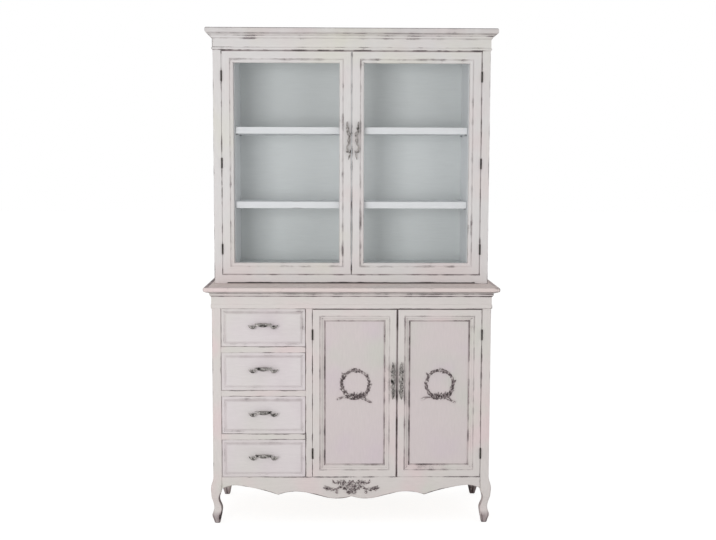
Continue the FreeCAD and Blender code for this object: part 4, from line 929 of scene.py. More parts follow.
def band_outline(low):
    """A flat band with soft edges, 19 mm high, its upper half spared by the rubbing."""
    return [(2.8, low, 0.3), (3.5, low + 1.0), (3.8, low + 3.6), (3.8, low + 13.6, -1), (3.5, low + 16.6, -1),
            (2.8, low + 18.6, -1), (FRIEZE, low + 19.4, -1)]


def bead_outline(low):
    """A half-round bead between two small fillets, 14 mm high."""
    return [(1.6, low, 0.4), (1.6, low + 1.6, 0.3), *outline_arc((0.6, low + 7), 4.7, -72, 72, 10),
            (2.0, low + 12.2, 0.2), (FRIEZE, low + 13.4)]


class DRESSER_OT_mouldings(bpy.types.Operator):
    """Runs the coves and beads round the case and the hutch, under their bullnosed boards"""

    bl_idname = "dresser.mouldings"
    bl_label = "Tops and mouldings"

    def execute(self, context):
        back = OUTER_HIGH.y / MM
        slab_low, slab_high = (corner.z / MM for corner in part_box("buffet_top"))
        cornice_low, cornice_high = (corner.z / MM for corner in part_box("cornice_board"))
        slab = nose_profile(slab_low, slab_high, radius=8, top_radius=4, under=1.05, face=0, line=0.8)
        cornice = nose_profile(cornice_low, cornice_high, radius=6.5, top_radius=5.5, under=0.3, face=0.19,
                               line=1.2)
        for node, profile, side_weight, paint, slot in (
                ("buffet_top", slab, (0.1, 0.4, 0, 1.1), "slab_chalk_paint", "buffet_paint"),
                ("cornice_board", cornice, (1, 1, 0, 1), "hutch_chalk_paint", "hutch_paint")):
            low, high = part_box(node)
            mesh = nosed(node, profile, high.x / MM, low.y / MM, back, side_weight)
            rounded_piece(node, "bullnosed", mesh, paint, slot, width=0.4, segments=2, angle=50)
        band = run_outline(slab_low, BAND_FOOT, band_outline, underside_wax_and_shade=1.0)
        bead = run_outline(cornice_low, BEAD_FOOT, bead_outline, underside_wax_and_shade=0.35)
        for node, outline, (half, front), paint, slot in (
                ("buffet_mouldings", band, CASE, "buffet_chalk_paint", "buffet_paint"),
                ("cornice_mouldings", bead, HUTCH, "hutch_chalk_paint", "hutch_paint")):
            mesh = round_case(node, outline, half, front, back)
            rounded_piece(node, "run", mesh, paint, slot, width=0.4, segments=2, angle=40)
        return {"FINISHED"}


# How much of the gap round a drawer front, under a door and left of a left door the paint fills, in mm
GAP_LESS = 0.9
# Wax and painted shade on a door's frame, and on its rim, for each side: panelled doors, then glazed ones.
# On a rim they also set how black the painted shadow in its gap turns
DOOR_WAX_AND_SHADE = {"left": 1.2, "top": 0.7, "right": 0.7, "bottom": 0.55}
LEFT_RIM = {"left": 0.05, "top": 2.0, "right": 0.9, "bottom": 0.15}
RIGHT_RIM = {"left": 0.9, "top": 1.9, "right": 0.15, "bottom": 0.2}
GLASS_WAX_AND_SHADE = {"left": 1.0, "top": 0.55, "right": 0.9, "bottom": 0.3}
GLASS_RIM = {"left": 0.25, "top": 0.95, "right": 0.5, "bottom": 0.8}


def door_outline(face):
    """Stile, quirk, ovolo, flat and inner bead of a buffet door's frame, from its back edge round."""
    return [
        (0, face + 22), (0, face, 0.8), (3.2, face), (28.6, face, 0.5), (29.4, face + 1.0, 0.5),
        (32.6, face + 1.0, 0.35), (33.2, face + 0.6, 0.14),
        *[(33.4 + a, face + 0.2 + b, 0.12) for a, b in outline_arc((0, 7.6), 7.2, -90, -24, 7)],
        (41.6, face + 6.4, 0.14), (47.8, face + 9.2, 0.85),
        *[(a, b, 0.8) for a, b in outline_arc((50.4, face + 9.8), 2.4, -175, -5, 6)],
        (53.2, face + 10.1, 0.95), (53.6, face + 11), (31, face + 11), (31, face + 22)]


def glass_door_outline(face):
    """Stile, quirk, bead and chamfer of a hutch door's frame, and the glazing bead behind the pane."""
    return [
        (0, face + 22), (0, face, 0.75), (3.6, face), (32.6, face, 0.4), (33.2, face + 1.1, 0.45),
        (35.6, face + 1.1, 0.3), *outline_arc((38.4, face + 1.2), 2.5, -178, -40, 6),
        *[(a, b, 0.3 if a > 48.5 else 0) for a, b in outline_arc((43.2, face + 7.0), 6.4, -80, -6, 6)],
        (50, face + 7, 0.5), (50, face + 11), (38, face + 11), (38, face + 14), (46, face + 14),
        (46, face + 17.5), *outline_arc((42.5, face + 17.5), 3.4, 0, 80, 4), (38, face + 21), (38, face + 22)]


class DRESSER_OT_doors(bpy.types.Operator):
    """Frames the buffet's panelled doors and the hutch's glazed doors"""

    bl_idname = "dresser.doors"
    bl_label = "Doors"

    def execute(self, context):
        buffet = ("buffet_chalk_paint", "buffet_paint")
        hutch = ("hutch_chalk_paint", "hutch_paint")
        for name, outline, wax_and_shade, rim, (paint, slot) in (
                ("left_door", door_outline, DOOR_WAX_AND_SHADE, LEFT_RIM, buffet),
                ("right_door", door_outline, DOOR_WAX_AND_SHADE, RIGHT_RIM, buffet),
                ("left_glass_door", glass_door_outline, GLASS_WAX_AND_SHADE, GLASS_RIM, hutch),
                ("right_glass_door", glass_door_outline, GLASS_WAX_AND_SHADE, GLASS_RIM, hutch)):
            node = f"{name}_frame"
            low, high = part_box(node)
            x = (low.x / MM - (GAP_LESS if name.startswith("left") else 0), high.x / MM)
            z = (low.z / MM - GAP_LESS, high.z / MM)
            mesh = framed(node, outline(low.y / MM), x, z, wax_and_shade, rim)
            rounded_piece(node, "moulded", mesh, paint, slot, width=0.9, segments=3, angle=40)
        for name in ("left_door", "right_door"):
            dressed(f"{name}_panel", "panel_chalk_paint", "buffet_paint", 0.6 * MM)
        for name in ("left_glass_door", "right_glass_door"):
            pane = dressed(f"{name}_glass", "float_glass", "glass", 0.4 * MM, name=f"{name}_pane")
            pane.visible_shadow = False
        return {"FINISHED"}


# Wax and painted shade on a drawer front, side by side: round its raised field, and on its outer edge
FIELD_WAX_AND_SHADE = {"left": 0.7, "top": 0.85, "right": 0.55, "bottom": 0.5}
DRAWER_RIM = {"left": 0.75, "top": 0.25, "right": 0.7, "bottom": 0.2}


def drawer_outline(face):
    """Edge, margin, quirk and raised field of a drawer front, from the back to the field."""
    return [
        (0, face + 22), (0, face + 4, 0.85), (2.2, face + 4), (9.8, face + 4), (10.8, face + 4.8, 0.34),
        (12.8, face + 4.8, 0.38), (14.6, face + 4.1, 0.4), (16.6, face + 2.7, 0.38), (18.8, face + 1.4, 0.32),
        (21.4, face + 0.5, 0.16), (24.4, face + 0.1, 0.08), (27, face)]


class DRESSER_OT_drawers(bpy.types.Operator):
    """Makes the drawers' raised fronts and planed boxes"""

    bl_idname = "dresser.drawers"
    bl_label = "Drawers"

    def execute(self, context):
        for number in range(1, 5):
            node = f"drawer_{number}_front"
            low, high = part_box(node)
            x = (low.x / MM - GAP_LESS, high.x / MM + GAP_LESS / 2)
            z = (low.z / MM - GAP_LESS, high.z / MM + GAP_LESS)
            mesh = framed(node, drawer_outline(low.y / MM), x, z, FIELD_WAX_AND_SHADE, DRAWER_RIM, cap=True)
            rounded_piece(node, "raised", mesh, "drawer_chalk_paint", "buffet_paint", width=0.9, segments=3,
                          angle=40)
            dressed(f"drawer_{number}_box", "planed_pine", "bare_wood", 1.0 * MM)
        return {"FINISHED"}


# Front leg as (height, half width, outward shift of its middle, corner radius), in millimetres
LEG_PROFILE = [
    (0, 10, 0.8, 6), (2, 11.6, 0.7, 6), (6, 12.8, 0.6, 6.5), (13, 14.4, 0.9, 7), (20, 16.2, 1.4, 8),
    (27, 18.2, 1.9, 9), (34, 19.7, 1.8, 9.5), (40, 19.8, 1, 9.5), (46, 19.2, -0.4, 9.5),
    (54, 18.2, -2.2, 9), (63, 17.5, -3.2, 8.5), (72, 16.8, -2.4, 8.5), (83, 15.7, 0.2, 8.5),
    (95, 15.3, 3.8, 8.5), (106, 16.2, 6.2, 8.5), (114, 17.5, 7, 9), (124, 19.4, 6.4, 9),
    (136, 21.8, 5.8, 9), (147, 22.8, 5.4, 9), (158, 22.2, 4.8, 8), (170, 20.9, 3.2, 6.5),
    (182, 19, 1.2, 5), (195, 18, 0, 3.2), (210, 18, 0, 2.6)]
# The straight post over it: half width, outward shift and corner radius, and heights of two of its rings
POST = (18, 0, 2.6)
POST_HEIGHTS = (480, 720)
# Half depth of the rear legs, and the middles of the posts: to either side, at the front and at the rear
REAR_HALF_DEPTH = 16
POST_SIDE, POST_FRONT, POST_REAR = 555, -187, 217


def rounded_square(half_x, half_y, radius, steps):
    """Points round a rectangle with rounded corners, with as many steps round a corner as along a side."""
    points = []
    for k in range(4):
        centre = ((half_x - radius) * (1, -1, -1, 1)[k], (half_y - radius) * (1, 1, -1, -1)[k])
        corner = outline_arc(centre, radius, 90 * k, 90 * k + 90, steps)
        points += corner
        after = ((half_x - radius) * (-1, -1, 1, 1)[k], (half_y - radius) * (1, -1, -1, 1)[k])
        turn = math.radians(90 * k + 90)
        end = (after[0] + radius * math.cos(turn), after[1] + radius * math.sin(turn))
        for step in range(1, steps):
            share = step / steps
            points.append(tuple(p + (q - p) * share for p, q in zip(corner[-1], end)))
    return points


# Toes of a hoof: the middle and the spread of their height, and their grooves' depth, in millimetres
HOOF = (22, 24, 2.4)
# Height under which a leg takes painted shade, and heights between which its inner face is painted dark
# as shade, in millimetres
KNEE = 190
SHIN = (14, 128)
# Height about which the foot's turn-out fades, and how gently, in millimetres
TURN_OUT_FADE = (122, 6)
# Weights on a leg: wax and painted shade on its hoof, darkest at the foot and in the grooves between its toes;
# painted shade on the rest of it, which darkens the rear legs in the shade under the dresser; painted shade
# on its inner face, the side turned from the light; and how far its foot turns out, in millimetres
LEGS = {"front_left_leg": (0.66, 0, 1.2, 2.0), "front_right_leg": (0.6, 0, 0.5, 0.6),
        "rear_left_leg": (0.7, 0.5, 0.7, 1), "rear_right_leg": (1.2, 0.9, 1.3, 1)}


def leg_rings(rows, middle, outward, front, turn_out):
    """Rings of points round a leg for rows like LEG_PROFILE's, and how deep each point lies in a groove
    between two toes, from 0 to 1."""
    rings, toes = [], []
    hoof, spread, groove = HOOF
    for height, half, shift, radius in rows:
        deep = half if front else min(half, REAR_HALF_DEPTH)
        claw = math.exp(-((height - hoof) / spread) ** 4)
        shift += turn_out / (1 + math.exp((height - TURN_OUT_FADE[0]) / TURN_OUT_FADE[1]))
        ring, grooves = [], []
        for x, y in rounded_square(half, deep, min(radius, deep - 1), 6):
            turn = math.atan2(-y if front else y, x) - math.pi / 2
            grooves.append(claw * max(0, -math.cos(5 * turn)) ** 5)
            inward = 1 - grooves[-1] * groove / math.hypot(x, y)
            ring.append((middle[0] + outward * (shift + x * inward),
                         middle[1] - (shift if front else 0) + y * inward, height))
        rings.append(ring)
        toes.append(grooves)
    return rings, toes


class DRESSER_OT_legs(bpy.types.Operator):
    """Turns the four posts into cabriole legs with hoofed feet"""

    bl_idname = "dresser.legs"
    bl_label = "Legs"

    def execute(self, context):
        lower = smooth_path(LEG_PROFILE, 4)
        for node, (hoof_wax_and_shade, leg_shade, shin_shade, turn_out) in LEGS.items():
            outward = -1 if "left" in node else 1
            front = "front" in node
            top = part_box(node)[1].z / MM
            rows = [*lower, *[(height, *POST) for height in (*POST_HEIGHTS, top)]]
            post = (POST_SIDE * outward, POST_FRONT if front else POST_REAR)
            rings, toes = leg_rings(rows, post, outward, front, turn_out)
            heights = [row[0] for row in rows]
            middles = [sum(point[0] for point in ring) / len(ring) for ring in rings]
            inner_reach = [max((middle - point[0]) * outward for point in ring)
                           for middle, ring in zip(middles, rings)]

            def wax_and_shade_of(i, k):
                inner = (middles[i] - rings[i][k][0]) * outward > inner_reach[i] * 0.8
                fade = min(1, max(0, (HOOF[0] + 1.4 * HOOF[1] - heights[i]) / HOOF[1]))
                return max(hoof_wax_and_shade * (fade + 0.8 * toes[i][k]), leg_shade * (heights[i] < KNEE),
                           shin_shade * inner * (SHIN[0] < heights[i] < SHIN[1]))

            mesh = swept(node, rings, lambda i, k: Vector(grain_along(2)), wax_and_shade_of)
            rounded_piece(node, "turned", mesh, "buffet_chalk_paint", "buffet_paint", width=0.8, segments=2,
                          angle=50)
        return {"FINISHED"}


def leaf_trail_tree():
    """Nodes that set a leaf at every step of a line, leaning to its left and right in turn."""
    tree = bpy.data.node_groups.new("Leaf trail", "GeometryNodeTree")
    for name, kind, default in (
            ("Line", "NodeSocketObject", None), ("Leaf", "NodeSocketObject", None),
            ("Spacing", "NodeSocketFloat", 6 * MM), ("Tilt", "NodeSocketFloat", 0.5),
            ("Sway", "NodeSocketFloat", 0.2), ("Smallest", "NodeSocketFloat", 0.8),
            ("Seed", "NodeSocketInt", 1), ("Material", "NodeSocketMaterial", None)):
        socket = tree.interface.new_socket(name=name, in_out="INPUT", socket_type=kind)
        if default is not None:
            socket.default_value = default
    tree.interface.new_socket(name="Geometry", in_out="OUTPUT", socket_type="NodeSocketGeometry")
    given = add(tree, "NodeGroupInput").outputs
    path = add(tree, "GeometryNodeObjectInfo", {"Object": given["Line"]}).outputs["Geometry"]
    form = add(tree, "GeometryNodeObjectInfo", {"Object": given["Leaf"]}).outputs["Geometry"]
    points = add(tree, "GeometryNodeCurveToPoints", {"Curve": path, "Length": given["Spacing"]},
                 mode="LENGTH")
    index = add(tree, "GeometryNodeInputIndex").outputs[0]
    odd = add(tree, "ShaderNodeMath", {0: index, 1: 2.0}, operation="MODULO").outputs[0]
    side = add(tree, "ShaderNodeMath", {0: odd, 1: 2.0, 2: -1.0}, operation="MULTIPLY_ADD").outputs[0]
    least = add(tree, "ShaderNodeMath", {0: given["Sway"], 1: -1.0}, operation="MULTIPLY").outputs[0]
    stray = add(tree, "FunctionNodeRandomValue", {
        2: least, 3: given["Sway"], "Seed": given["Seed"]}, data_type="FLOAT").outputs[1]
    lean = add(tree, "ShaderNodeMath", {0: side, 1: given["Tilt"], 2: stray},
               operation="MULTIPLY_ADD").outputs[0]
    turned = add(tree, "FunctionNodeAxisAngleToRotation", {"Axis": (0, 1, 0), "Angle": lean}).outputs[0]
    facing = add(tree, "FunctionNodeAlignRotationToVector", {"Vector": points.outputs["Tangent"]},
                 axis="X", pivot_axis="Y").outputs[0]
    rotated = add(tree, "FunctionNodeRotateRotation", {"Rotation": facing, "Rotate By": turned},
                  rotation_space="LOCAL").outputs[0]
    other_seed = add(tree, "ShaderNodeMath", {0: given["Seed"], 1: 13.0}, operation="ADD").outputs[0]
    size = add(tree, "FunctionNodeRandomValue", {
        2: given["Smallest"], 3: 1.1, "Seed": other_seed}, data_type="FLOAT").outputs[1]
    placed = add(tree, "GeometryNodeInstanceOnPoints", {
        "Points": points.outputs["Points"], "Instance": form, "Rotation": rotated, "Scale": size}).outputs[0]
    real = add(tree, "GeometryNodeRealizeInstances", {0: placed}).outputs[0]
    finish = add(tree, "GeometryNodeSetMaterial", {0: real, "Material": given["Material"]}).outputs[0]
    add(tree, "NodeGroupOutput", {0: finish})
    return tree


def leaf_trail(tree, line, leaf_size, base, **inputs):
    """The leaves along a line of (x, z) points in millimetres, on the plane y = base, as a plain mesh."""
    curve = bpy.data.curves.new("line", "CURVE")
    curve.dimensions = "3D"
    spline = curve.splines.new("POLY")
    spline.points.add(len(line) - 1)
    for point, (x, z) in zip(spline.points, line):
        point.co = (x * MM, base * MM, z * MM, 1)
    path = bpy.data.objects.new("line", curve)
    bm = bmesh.new()
    add_leaf(bm, (0, 0), (leaf_size[0], 0), leaf_size[1], leaf_size[2], 0)
    leaf = bpy.data.objects.new("leaf", mesh_of("leaf", bm))
    holder = bpy.data.objects.new("trail", bpy.data.meshes.new("trail"))
    for thing in (path, leaf, holder):
        bpy.context.scene.collection.objects.link(thing)
    modifier = holder.modifiers.new("trail", "NODES")
    modifier.node_group = tree
    given = {"Line": path, "Leaf": leaf, **inputs}
    for item in tree.interface.items_tree:
        if item.in_out == "INPUT" and item.name in given:
            modifier[item.identifier] = given[item.name]
    depsgraph = bpy.context.evaluated_depsgraph_get()
    mesh = bpy.data.meshes.new_from_object(holder.evaluated_get(depsgraph), depsgraph=depsgraph)
    for thing in (holder, leaf, path):
        bpy.data.objects.remove(thing)
    return mesh


# Wreath, in millimetres: how far its middle stands right of its place, its height and its ring's radius
WREATH_SHIFT, WREATH_HEIGHT, WREATH_RADIUS = 3, 587, 57
# Its runs of leaves, as start and end in degrees and a shift of the seed
LEAF_RUNS = ((-112, -262, 0), (-68, 82, 4))
# Layers of leaves on a run: tilt, share of the leaf's length, share of the spacing, and a shift of the seed
LEAF_LAYERS = ((0.52, 1, 1, 0), (0.2, 0.9, 1.5, 20))
# About the wreath's middle, in millimetres: leaves of the tied spray as (root, tip, width), its stems as
# points of (x, z, radius), and berries as (x, z, radius)
SPRAY_LEAVES = [
    ((-6, -58), (-24, -40), 9.5), ((-5, -58), (-5, -33), 8), ((1, -59), (9, -36), 9),
    ((7, -58), (18, -40), 8), ((18, -58), (25, -32), 8), ((33, -57), (42, -37), 9),
    ((28, -57), (33, -34), 7), ((-31, -55), (-44, -34), 9), ((-16, -60), (-36, -48), 8),
    ((12, -60), (-4, -50), 7.5), ((24, -62), (10, -52), 7.5), ((-22, -62), (-40, -56), 7),
    ((40, -53), (52, -36), 8), ((-38, -50), (-52, -34), 8), ((-2, -62), (-18, -56), 7),
    ((34, -60), (22, -48), 8), ((48, -34), (61, -26), 7), ((-47, 34), (-57, 47), 7),
    ((-12, -50), (-15, -38), 6), ((30, -50), (38, -60), 7)]
STEMS = [
    [(-14, -59, 2.2), (-32, -58, 2.3), (-46, -56.5, 2.4), (-56, -57.5, 3.6), (-64, -60, 4.8),
     (-71, -63.5, 4.0), (-77, -67, 1.0)],
    [(12, -60, 2.2), (25, -64, 2.2), (38, -67.5, 2.2), (47, -70.5, 3.2), (55, -73.5, 4.4), (62, -76, 4.0),
     (68, -78, 1.2)],
    [(38, -54, 1.9), (43, -62, 1.9), (50, -70, 1.9)],
    [(-26, -63, 2.0), (-10, -64.5, 2.4), (6, -64, 2.4), (20, -62.5, 2.0)],
    [(14, -50, 1.7), (20, -58, 1.9), (26, -65, 1.9)]]
BERRIES = [
    (-9, -54, 4.2), (3, -55, 3.6), (-28, -51, 3.4), (22, -56, 3.4), (35, -50, 3.0), (-46, -33, 2.8),
    (46, -34, 3.0), (-59, 6, 2.6), (59, 12, 2.8), (-36, 47, 3.0), (41, 42, 2.8), (-18, -55, 3.6),
    (12, -52, 3.0)]


class DRESSER_OT_wreaths(bpy.types.Operator):
    """Lays a laurel wreath with a tied spray of stems on each buffet door"""

    bl_idname = "dresser.wreaths"
    bl_label = "Wreaths"

    def execute(self, context):
        sizes = context.scene.dresser_sizes
        tree = leaf_trail_tree()
        leaf = sizes.leaf_length / MM
        for side, seed in (("left", 3), ("right", 8)):
            node = f"{side}_door_wreath"
            low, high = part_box(node)
            base = high.y / MM
            x, z = (low.x + high.x) / 2 / MM + WREATH_SHIFT, WREATH_HEIGHT
            meshes = []
            for start, end, run_shift in LEAF_RUNS:
                line = outline_arc((x, z), WREATH_RADIUS - 0.5, start, end, 60)
                for tilt, size, spacing, layer_shift in LEAF_LAYERS:
                    meshes.append(leaf_trail(
                        tree, line, (leaf * size, 8.2, 6.4), base, Spacing=sizes.leaf_spacing * spacing,
                        Tilt=tilt, Sway=0.3, Smallest=0.62, Seed=seed + run_shift + layer_shift,
                        Material=MATERIALS["rubbed_composition"]))
            bm = bmesh.new()
            ring = [(a, base - 2.2, b, 2.6) for a, b in outline_arc((x, z), WREATH_RADIUS, 0, 354, 60)]
            add_strand(bm, ring, steps=1, around=8, flatness=1.1)
            add_leaves(bm, SPRAY_LEAVES, x, base, z, lift=6.4)
            add_strands(bm, STEMS, x, base - 2.6, z)
            for a, b, radius in BERRIES:
                add_bead(bm, (x + a, base - 4.6, z + b), (radius, radius, radius))
            meshes.append(mesh_of(node, bm))
            new_piece(f"{node}_laurel", merged(meshes), frame["nodes"][node]["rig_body"], "rubbed_composition",
                      "rubbed_appliques", [node])
        return {"FINISHED"}


# Right half of the apron's carving, about the middle of the dresser: leaves as (root, tip, width, bend)
CARVED_HALF = [
    ((24, 167), (56, 165), 10, -1.5), ((46, 166), (72, 169), 8, -2), ((68, 168), (77, 185), 8.5, 2.5),
    ((30, 172), (46, 184), 9, 2), ((44, 173), (60, 181), 7, 1), ((22, 172), (33, 185), 8, 1.5),
    ((30, 160), (47, 153), 9, 1.5), ((36, 163), (44, 174), 7, 0), ((40, 155), (58, 150), 7, -1),
    ((52, 150), (70, 143), 7.5, 1), ((56, 146), (62, 133), 8, -1), ((66, 146), (84, 150), 7, 1.5),
    ((70, 142), (86, 136), 6.5, -1), ((82, 145), (101, 142), 7, -1), ((84, 148), (99, 157), 7, 1.5),
    ((98, 146), (118, 152), 7.5, 1.5), ((96, 150), (112, 160), 6.5, 1), ((24, 152), (36, 143), 9, 0),
    ((8, 150), (22, 141), 8, 1), ((0, 149), (5, 140), 8, 0)]
CARVED_STEM = [(20, 160, 2.4), (36, 154, 2.6), (56, 146, 2.4), (78, 144, 2.1), (98, 146, 1.7),
               (112, 151, 1.2)]
# Ringed lobe and buds as (x, z, radius)
CARVED_LOBE = (10, 133, 8.4)
CARVED_BUDS = [(61, 131.5, 5.2), (25, 146, 4.2), (49, 167, 4.6), (100, 142, 3.6), (33, 158, 3.4)]
# Rosette: its middle, and its rings as (petals, inner radius, outer radius, petal's width, lift)
ROSE = (0, 162)
PETALS = ((8, 6, 23, 13, 6.2), (6, 3, 14.5, 11.5, 8.4))


class DRESSER_OT_carving(bpy.types.Operator):
    """Carves the rosette and leaf sprays on the front apron"""

    bl_idname = "dresser.carving"
    bl_label = "Apron carving"

    def execute(self, context):
        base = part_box("apron_carving")[1].y / MM
        bm = bmesh.new()
        for way in (-1, 1):
            for root, tip, width, bend in CARVED_HALF:
                add_leaf(bm, (way * root[0], root[1]), (way * tip[0], tip[1]), width, 6.6, base,
                         bend=way * bend)
            add_strands(bm, [CARVED_STEM], 0, base - 2.6, 0, way)
            x, z, radius = CARVED_LOBE
            ring = [(a, base - 3.2, b, 1.9) for a, b in oval(way * x, z, radius, radius, 24)]
            add_strand(bm, ring + ring[:1], steps=2)
            add_bead(bm, (way * x, base - 2, z), (5, 4.2, 5))
            for x, z, radius in CARVED_BUDS:
                add_bead(bm, (way * x, base - 3.4, z), (radius, 4.6, radius * 1.1))
        for petals, inner, outer, width, lift in PETALS:
            roots, tips = (oval(*ROSE, radius, radius, petals, 0.5) for radius in (inner, outer))
            for root, tip in zip(roots, tips):
                add_leaf(bm, root, tip, width, lift, base, vein=0.5)
        add_bead(bm, (ROSE[0], base - 7.2, ROSE[1]), (5, 2.4, 5))
        new_piece("apron_carving_leaves", mesh_of("apron_carving", bm), "case", "rubbed_carving",
                  "rubbed_appliques", ["apron_carving"])
        return {"FINISHED"}


def add_post(bm, x, z, face, reach, radius):
    """A post from a small rose on the face out to the handle."""
    outline = ((0, radius + 3.2), (1.2, radius + 3.4), (2.2, radius + 1.4), (3.4, radius),
               (reach * 0.6, radius * 0.85), (reach, radius))
    rings = [[bm.verts.new(Vector((a, face - out, b)) * MM) for a, b in oval(x, z, size, size, 16)]
             for out, size in outline]
    for a, b in zip(rings, rings[1:]):
        for k in range(16):
            bm.faces.new([a[k], a[(k + 1) % 16], b[(k + 1) % 16], b[k]])
    bm.faces.new(rings[0][::-1])
    bm.faces.new(rings[-1])


# Right half of a drawer's bow handle, about its middle: strands of (x, z, radius)
BOW_HALF = [
    [(0, 1.6, 8.6), (9, 2.0, 8.2), (18, 3.0, 6.6), (26, 3.2, 4.6), (30, 0, 3.4), (34, -6, 3.2),
     (38.6, -10, 4.0), (45, -9.4, 5.0), (51.6, -5.8, 4.4), (57, -1.4, 3.0), (61, 2.8, 1.0)],
    [(19.5, 1, 1.6), (26, 5.6, 2.4), (31.6, 7.8, 2.0), (35.4, 5.6, 1.2)],
    [(38, -8, 1.8), (40.8, -2.2, 2.4), (46.4, -0.4, 1.9), (50, -3.4, 1.2)]]
# Leaves on the front of the bow: root, tip, width
BOW_LEAVES = [((3, 5.4), (29, 7.2), 6.4), ((3, -1.6), (28, 0.6), 6.4), ((4, 2), (23, 3.6), 5),
              ((40, -11), (56.4, -3.4), 5.6)]
# Its middle over its lowest point, its strands behind its front, and its posts as (x, z, radius)
BOW_RISE, BOW_DEPTH = 13, 4.6
BOW_POST = (45, -8.5, 3.6)


class DRESSER_OT_drawer_pulls(bpy.types.Operator):
    """Casts the drawers' bow handles with leaf tips"""

    bl_idname = "dresser.drawer_pulls"
    bl_label = "Drawer handles"

    def execute(self, context):
        for number in range(1, 5):
            node = f"drawer_{number}_pull"
            low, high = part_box(node)
            x, z = (low.x + high.x) / 2 / MM, low.z / MM + BOW_RISE
            face, bar = high.y / MM, low.y / MM + BOW_DEPTH
            bm = bmesh.new()
            for way in (-1, 1):
                add_strands(bm, BOW_HALF, x, bar, z, way, flatness=0.5)
                add_leaves(bm, BOW_LEAVES, x, bar, z, 6.2, way, vein=0.45)
                add_post(bm, x + way * BOW_POST[0], z + BOW_POST[1], face, face - bar, BOW_POST[2])
            add_bead(bm, (x, bar - 2.4, z + 1.8), (3.6, 3.6, 6.4))
            cast_piece(node, bm, context.scene.dresser_sizes.casting_grain)
        return {"FINISHED"}


# Buffet door handle, about its middle: strands of (x, z, radius), from the upper leaf down
CHAIN_STRANDS = [
    [(2.2, 79, 0.9), (1.8, 72, 3.8), (0.4, 63, 5.8), (-0.4, 56, 4.6), (0, 50, 2.4)],
    [(0, 50, 2.8), (6, 47, 3.0), (8.6, 41, 3.0), (6.4, 35, 2.8), (1.8, 36, 2.4)],
    [(0, 50, 2.6), (-5.6, 46.4, 2.8), (-7.8, 41, 2.8), (-5.4, 35.6, 2.6), (-1, 34, 2.2)],
    [(0, 42, 3.6), (2, 34, 3.8), (0.6, 26, 4.0), (0, 20, 4.4)],
    [(0.4, 32, 2.4), (-6.4, 28, 2.6), (-9, 21, 2.2)], [(0.4, 30, 2.2), (6.8, 26, 2.4), (8.4, 19, 2.0)],
    [(0, -13, 4.4), (-2.8, -20, 4.0), (-1.4, -28, 3.8), (1, -36, 3.6)],
    [(0, -16, 2.6), (7, -20, 2.8), (9, -27, 2.4), (4.8, -31, 2.2)],
    [(0, -34, 2.8), (-6.4, -37, 3.0), (-8.2, -43, 2.8), (-3.8, -47.6, 2.6)],
    [(0, -35, 2.8), (5.6, -39, 2.8), (6.4, -45, 2.4)],
    [(0, -47, 2.4), (-0.8, -54, 4.8), (0, -62, 5.6), (1.0, -71, 3.6), (0.6, -78, 0.9)]]
# Its beads as (middle, half lengths), its leaves as (root, tip, width), and the rim round its boss as the
# height of its middle, its half width, half height and thickness
CHAIN_BEADS = [((0, 50), (4.6, 4.4, 4.2)), ((0, 3), (9.6, 3.6, 17)), ((0, 3), (5.2, 5.8, 10.6)),
               ((0.8, -41), (5.0, 5.0, 5.4)), ((0.8, 37), (4.4, 4.6, 4.4))]
CHAIN_LEAVES = [((0, 52), (1.8, 77), 7), ((-0.5, -50), (0.8, -76), 7)]
CHAIN_RIM = (2, 8.6, 15.6, 1.7)
# Its middle over the middle of its place, its strands behind its front, and its posts' heights and radius
CHAIN_RISE, CHAIN_DEPTH = 4, 4.4
CHAIN_POSTS, CHAIN_POST = (48, -54), 3.4


class DRESSER_OT_door_pulls(bpy.types.Operator):
    """Casts the buffet doors' long handles: leaf, scrolls, oval boss, scrolls, leaf"""

    bl_idname = "dresser.door_pulls"
    bl_label = "Buffet door handles"

    def execute(self, context):
        for side, way in (("left", -1), ("right", 1)):
            node = f"{side}_door_pull"
            low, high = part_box(node)
            x, z = (low.x + high.x) / 2 / MM, (low.z + high.z) / 2 / MM + CHAIN_RISE
            face, bar = high.y / MM, low.y / MM + CHAIN_DEPTH
            bm = bmesh.new()
            add_strands(bm, CHAIN_STRANDS, x, bar, z, way, flatness=0.66)
            add_leaves(bm, CHAIN_LEAVES, x, bar, z, 5.4, way, vein=0.5)
            for (a, b), size in CHAIN_BEADS:
                add_bead(bm, (x + way * a, bar, z + b), size)
            rise, wide, tall, thick = CHAIN_RIM
            rim = [(a, bar - 1.6, b, thick) for a, b in oval(x, z + rise, wide, tall, 24)]
            add_strand(bm, rim, steps=2)
            for b in CHAIN_POSTS:
                add_post(bm, x, z + b, face, face - bar, CHAIN_POST)
            cast_piece(node, bm, context.scene.dresser_sizes.casting_grain)
        return {"FINISHED"}


# Hutch door handle, about its middle: an open S of scrolls round a knob
SCROLL_STRANDS = [
    [(-6.8, 79, 1.4), (-7.2, 70, 4.0), (-6.2, 59, 3.6), (-5.4, 48, 3.6), (-3.4, 40, 3.2), (2.6, 33, 2.8),
     (6.2, 28, 2.7), (5.4, 21, 2.8), (1.2, 15, 3.2), (0, 8, 3.8)],
    [(-5.6, 46, 1.8), (-8, 38, 2.4), (-5.4, 30, 2.8), (-2, 22, 3.0), (0, 14, 3.2)],
    [(0, -8, 3.8), (-1.6, -15, 3.6), (-6.2, -21, 3.0), (-7.6, -29, 3.2), (-6.0, -37, 3.8), (-2.8, -43, 3.0),
     (2.2, -50, 2.8), (3.6, -58, 2.8), (1.6, -67, 3.0), (-1.8, -79, 1.2)],
    [(-6, -38, 2.8), (-8.4, -43, 2.2), (-6.8, -48, 1.6)], [(3.4, -52, 2.2), (6.6, -46, 2.1), (7.2, -39, 1.4)],
    [(-1, 36, 1.8), (-2.6, 44, 2.2), (0.2, 52, 1.4)]]
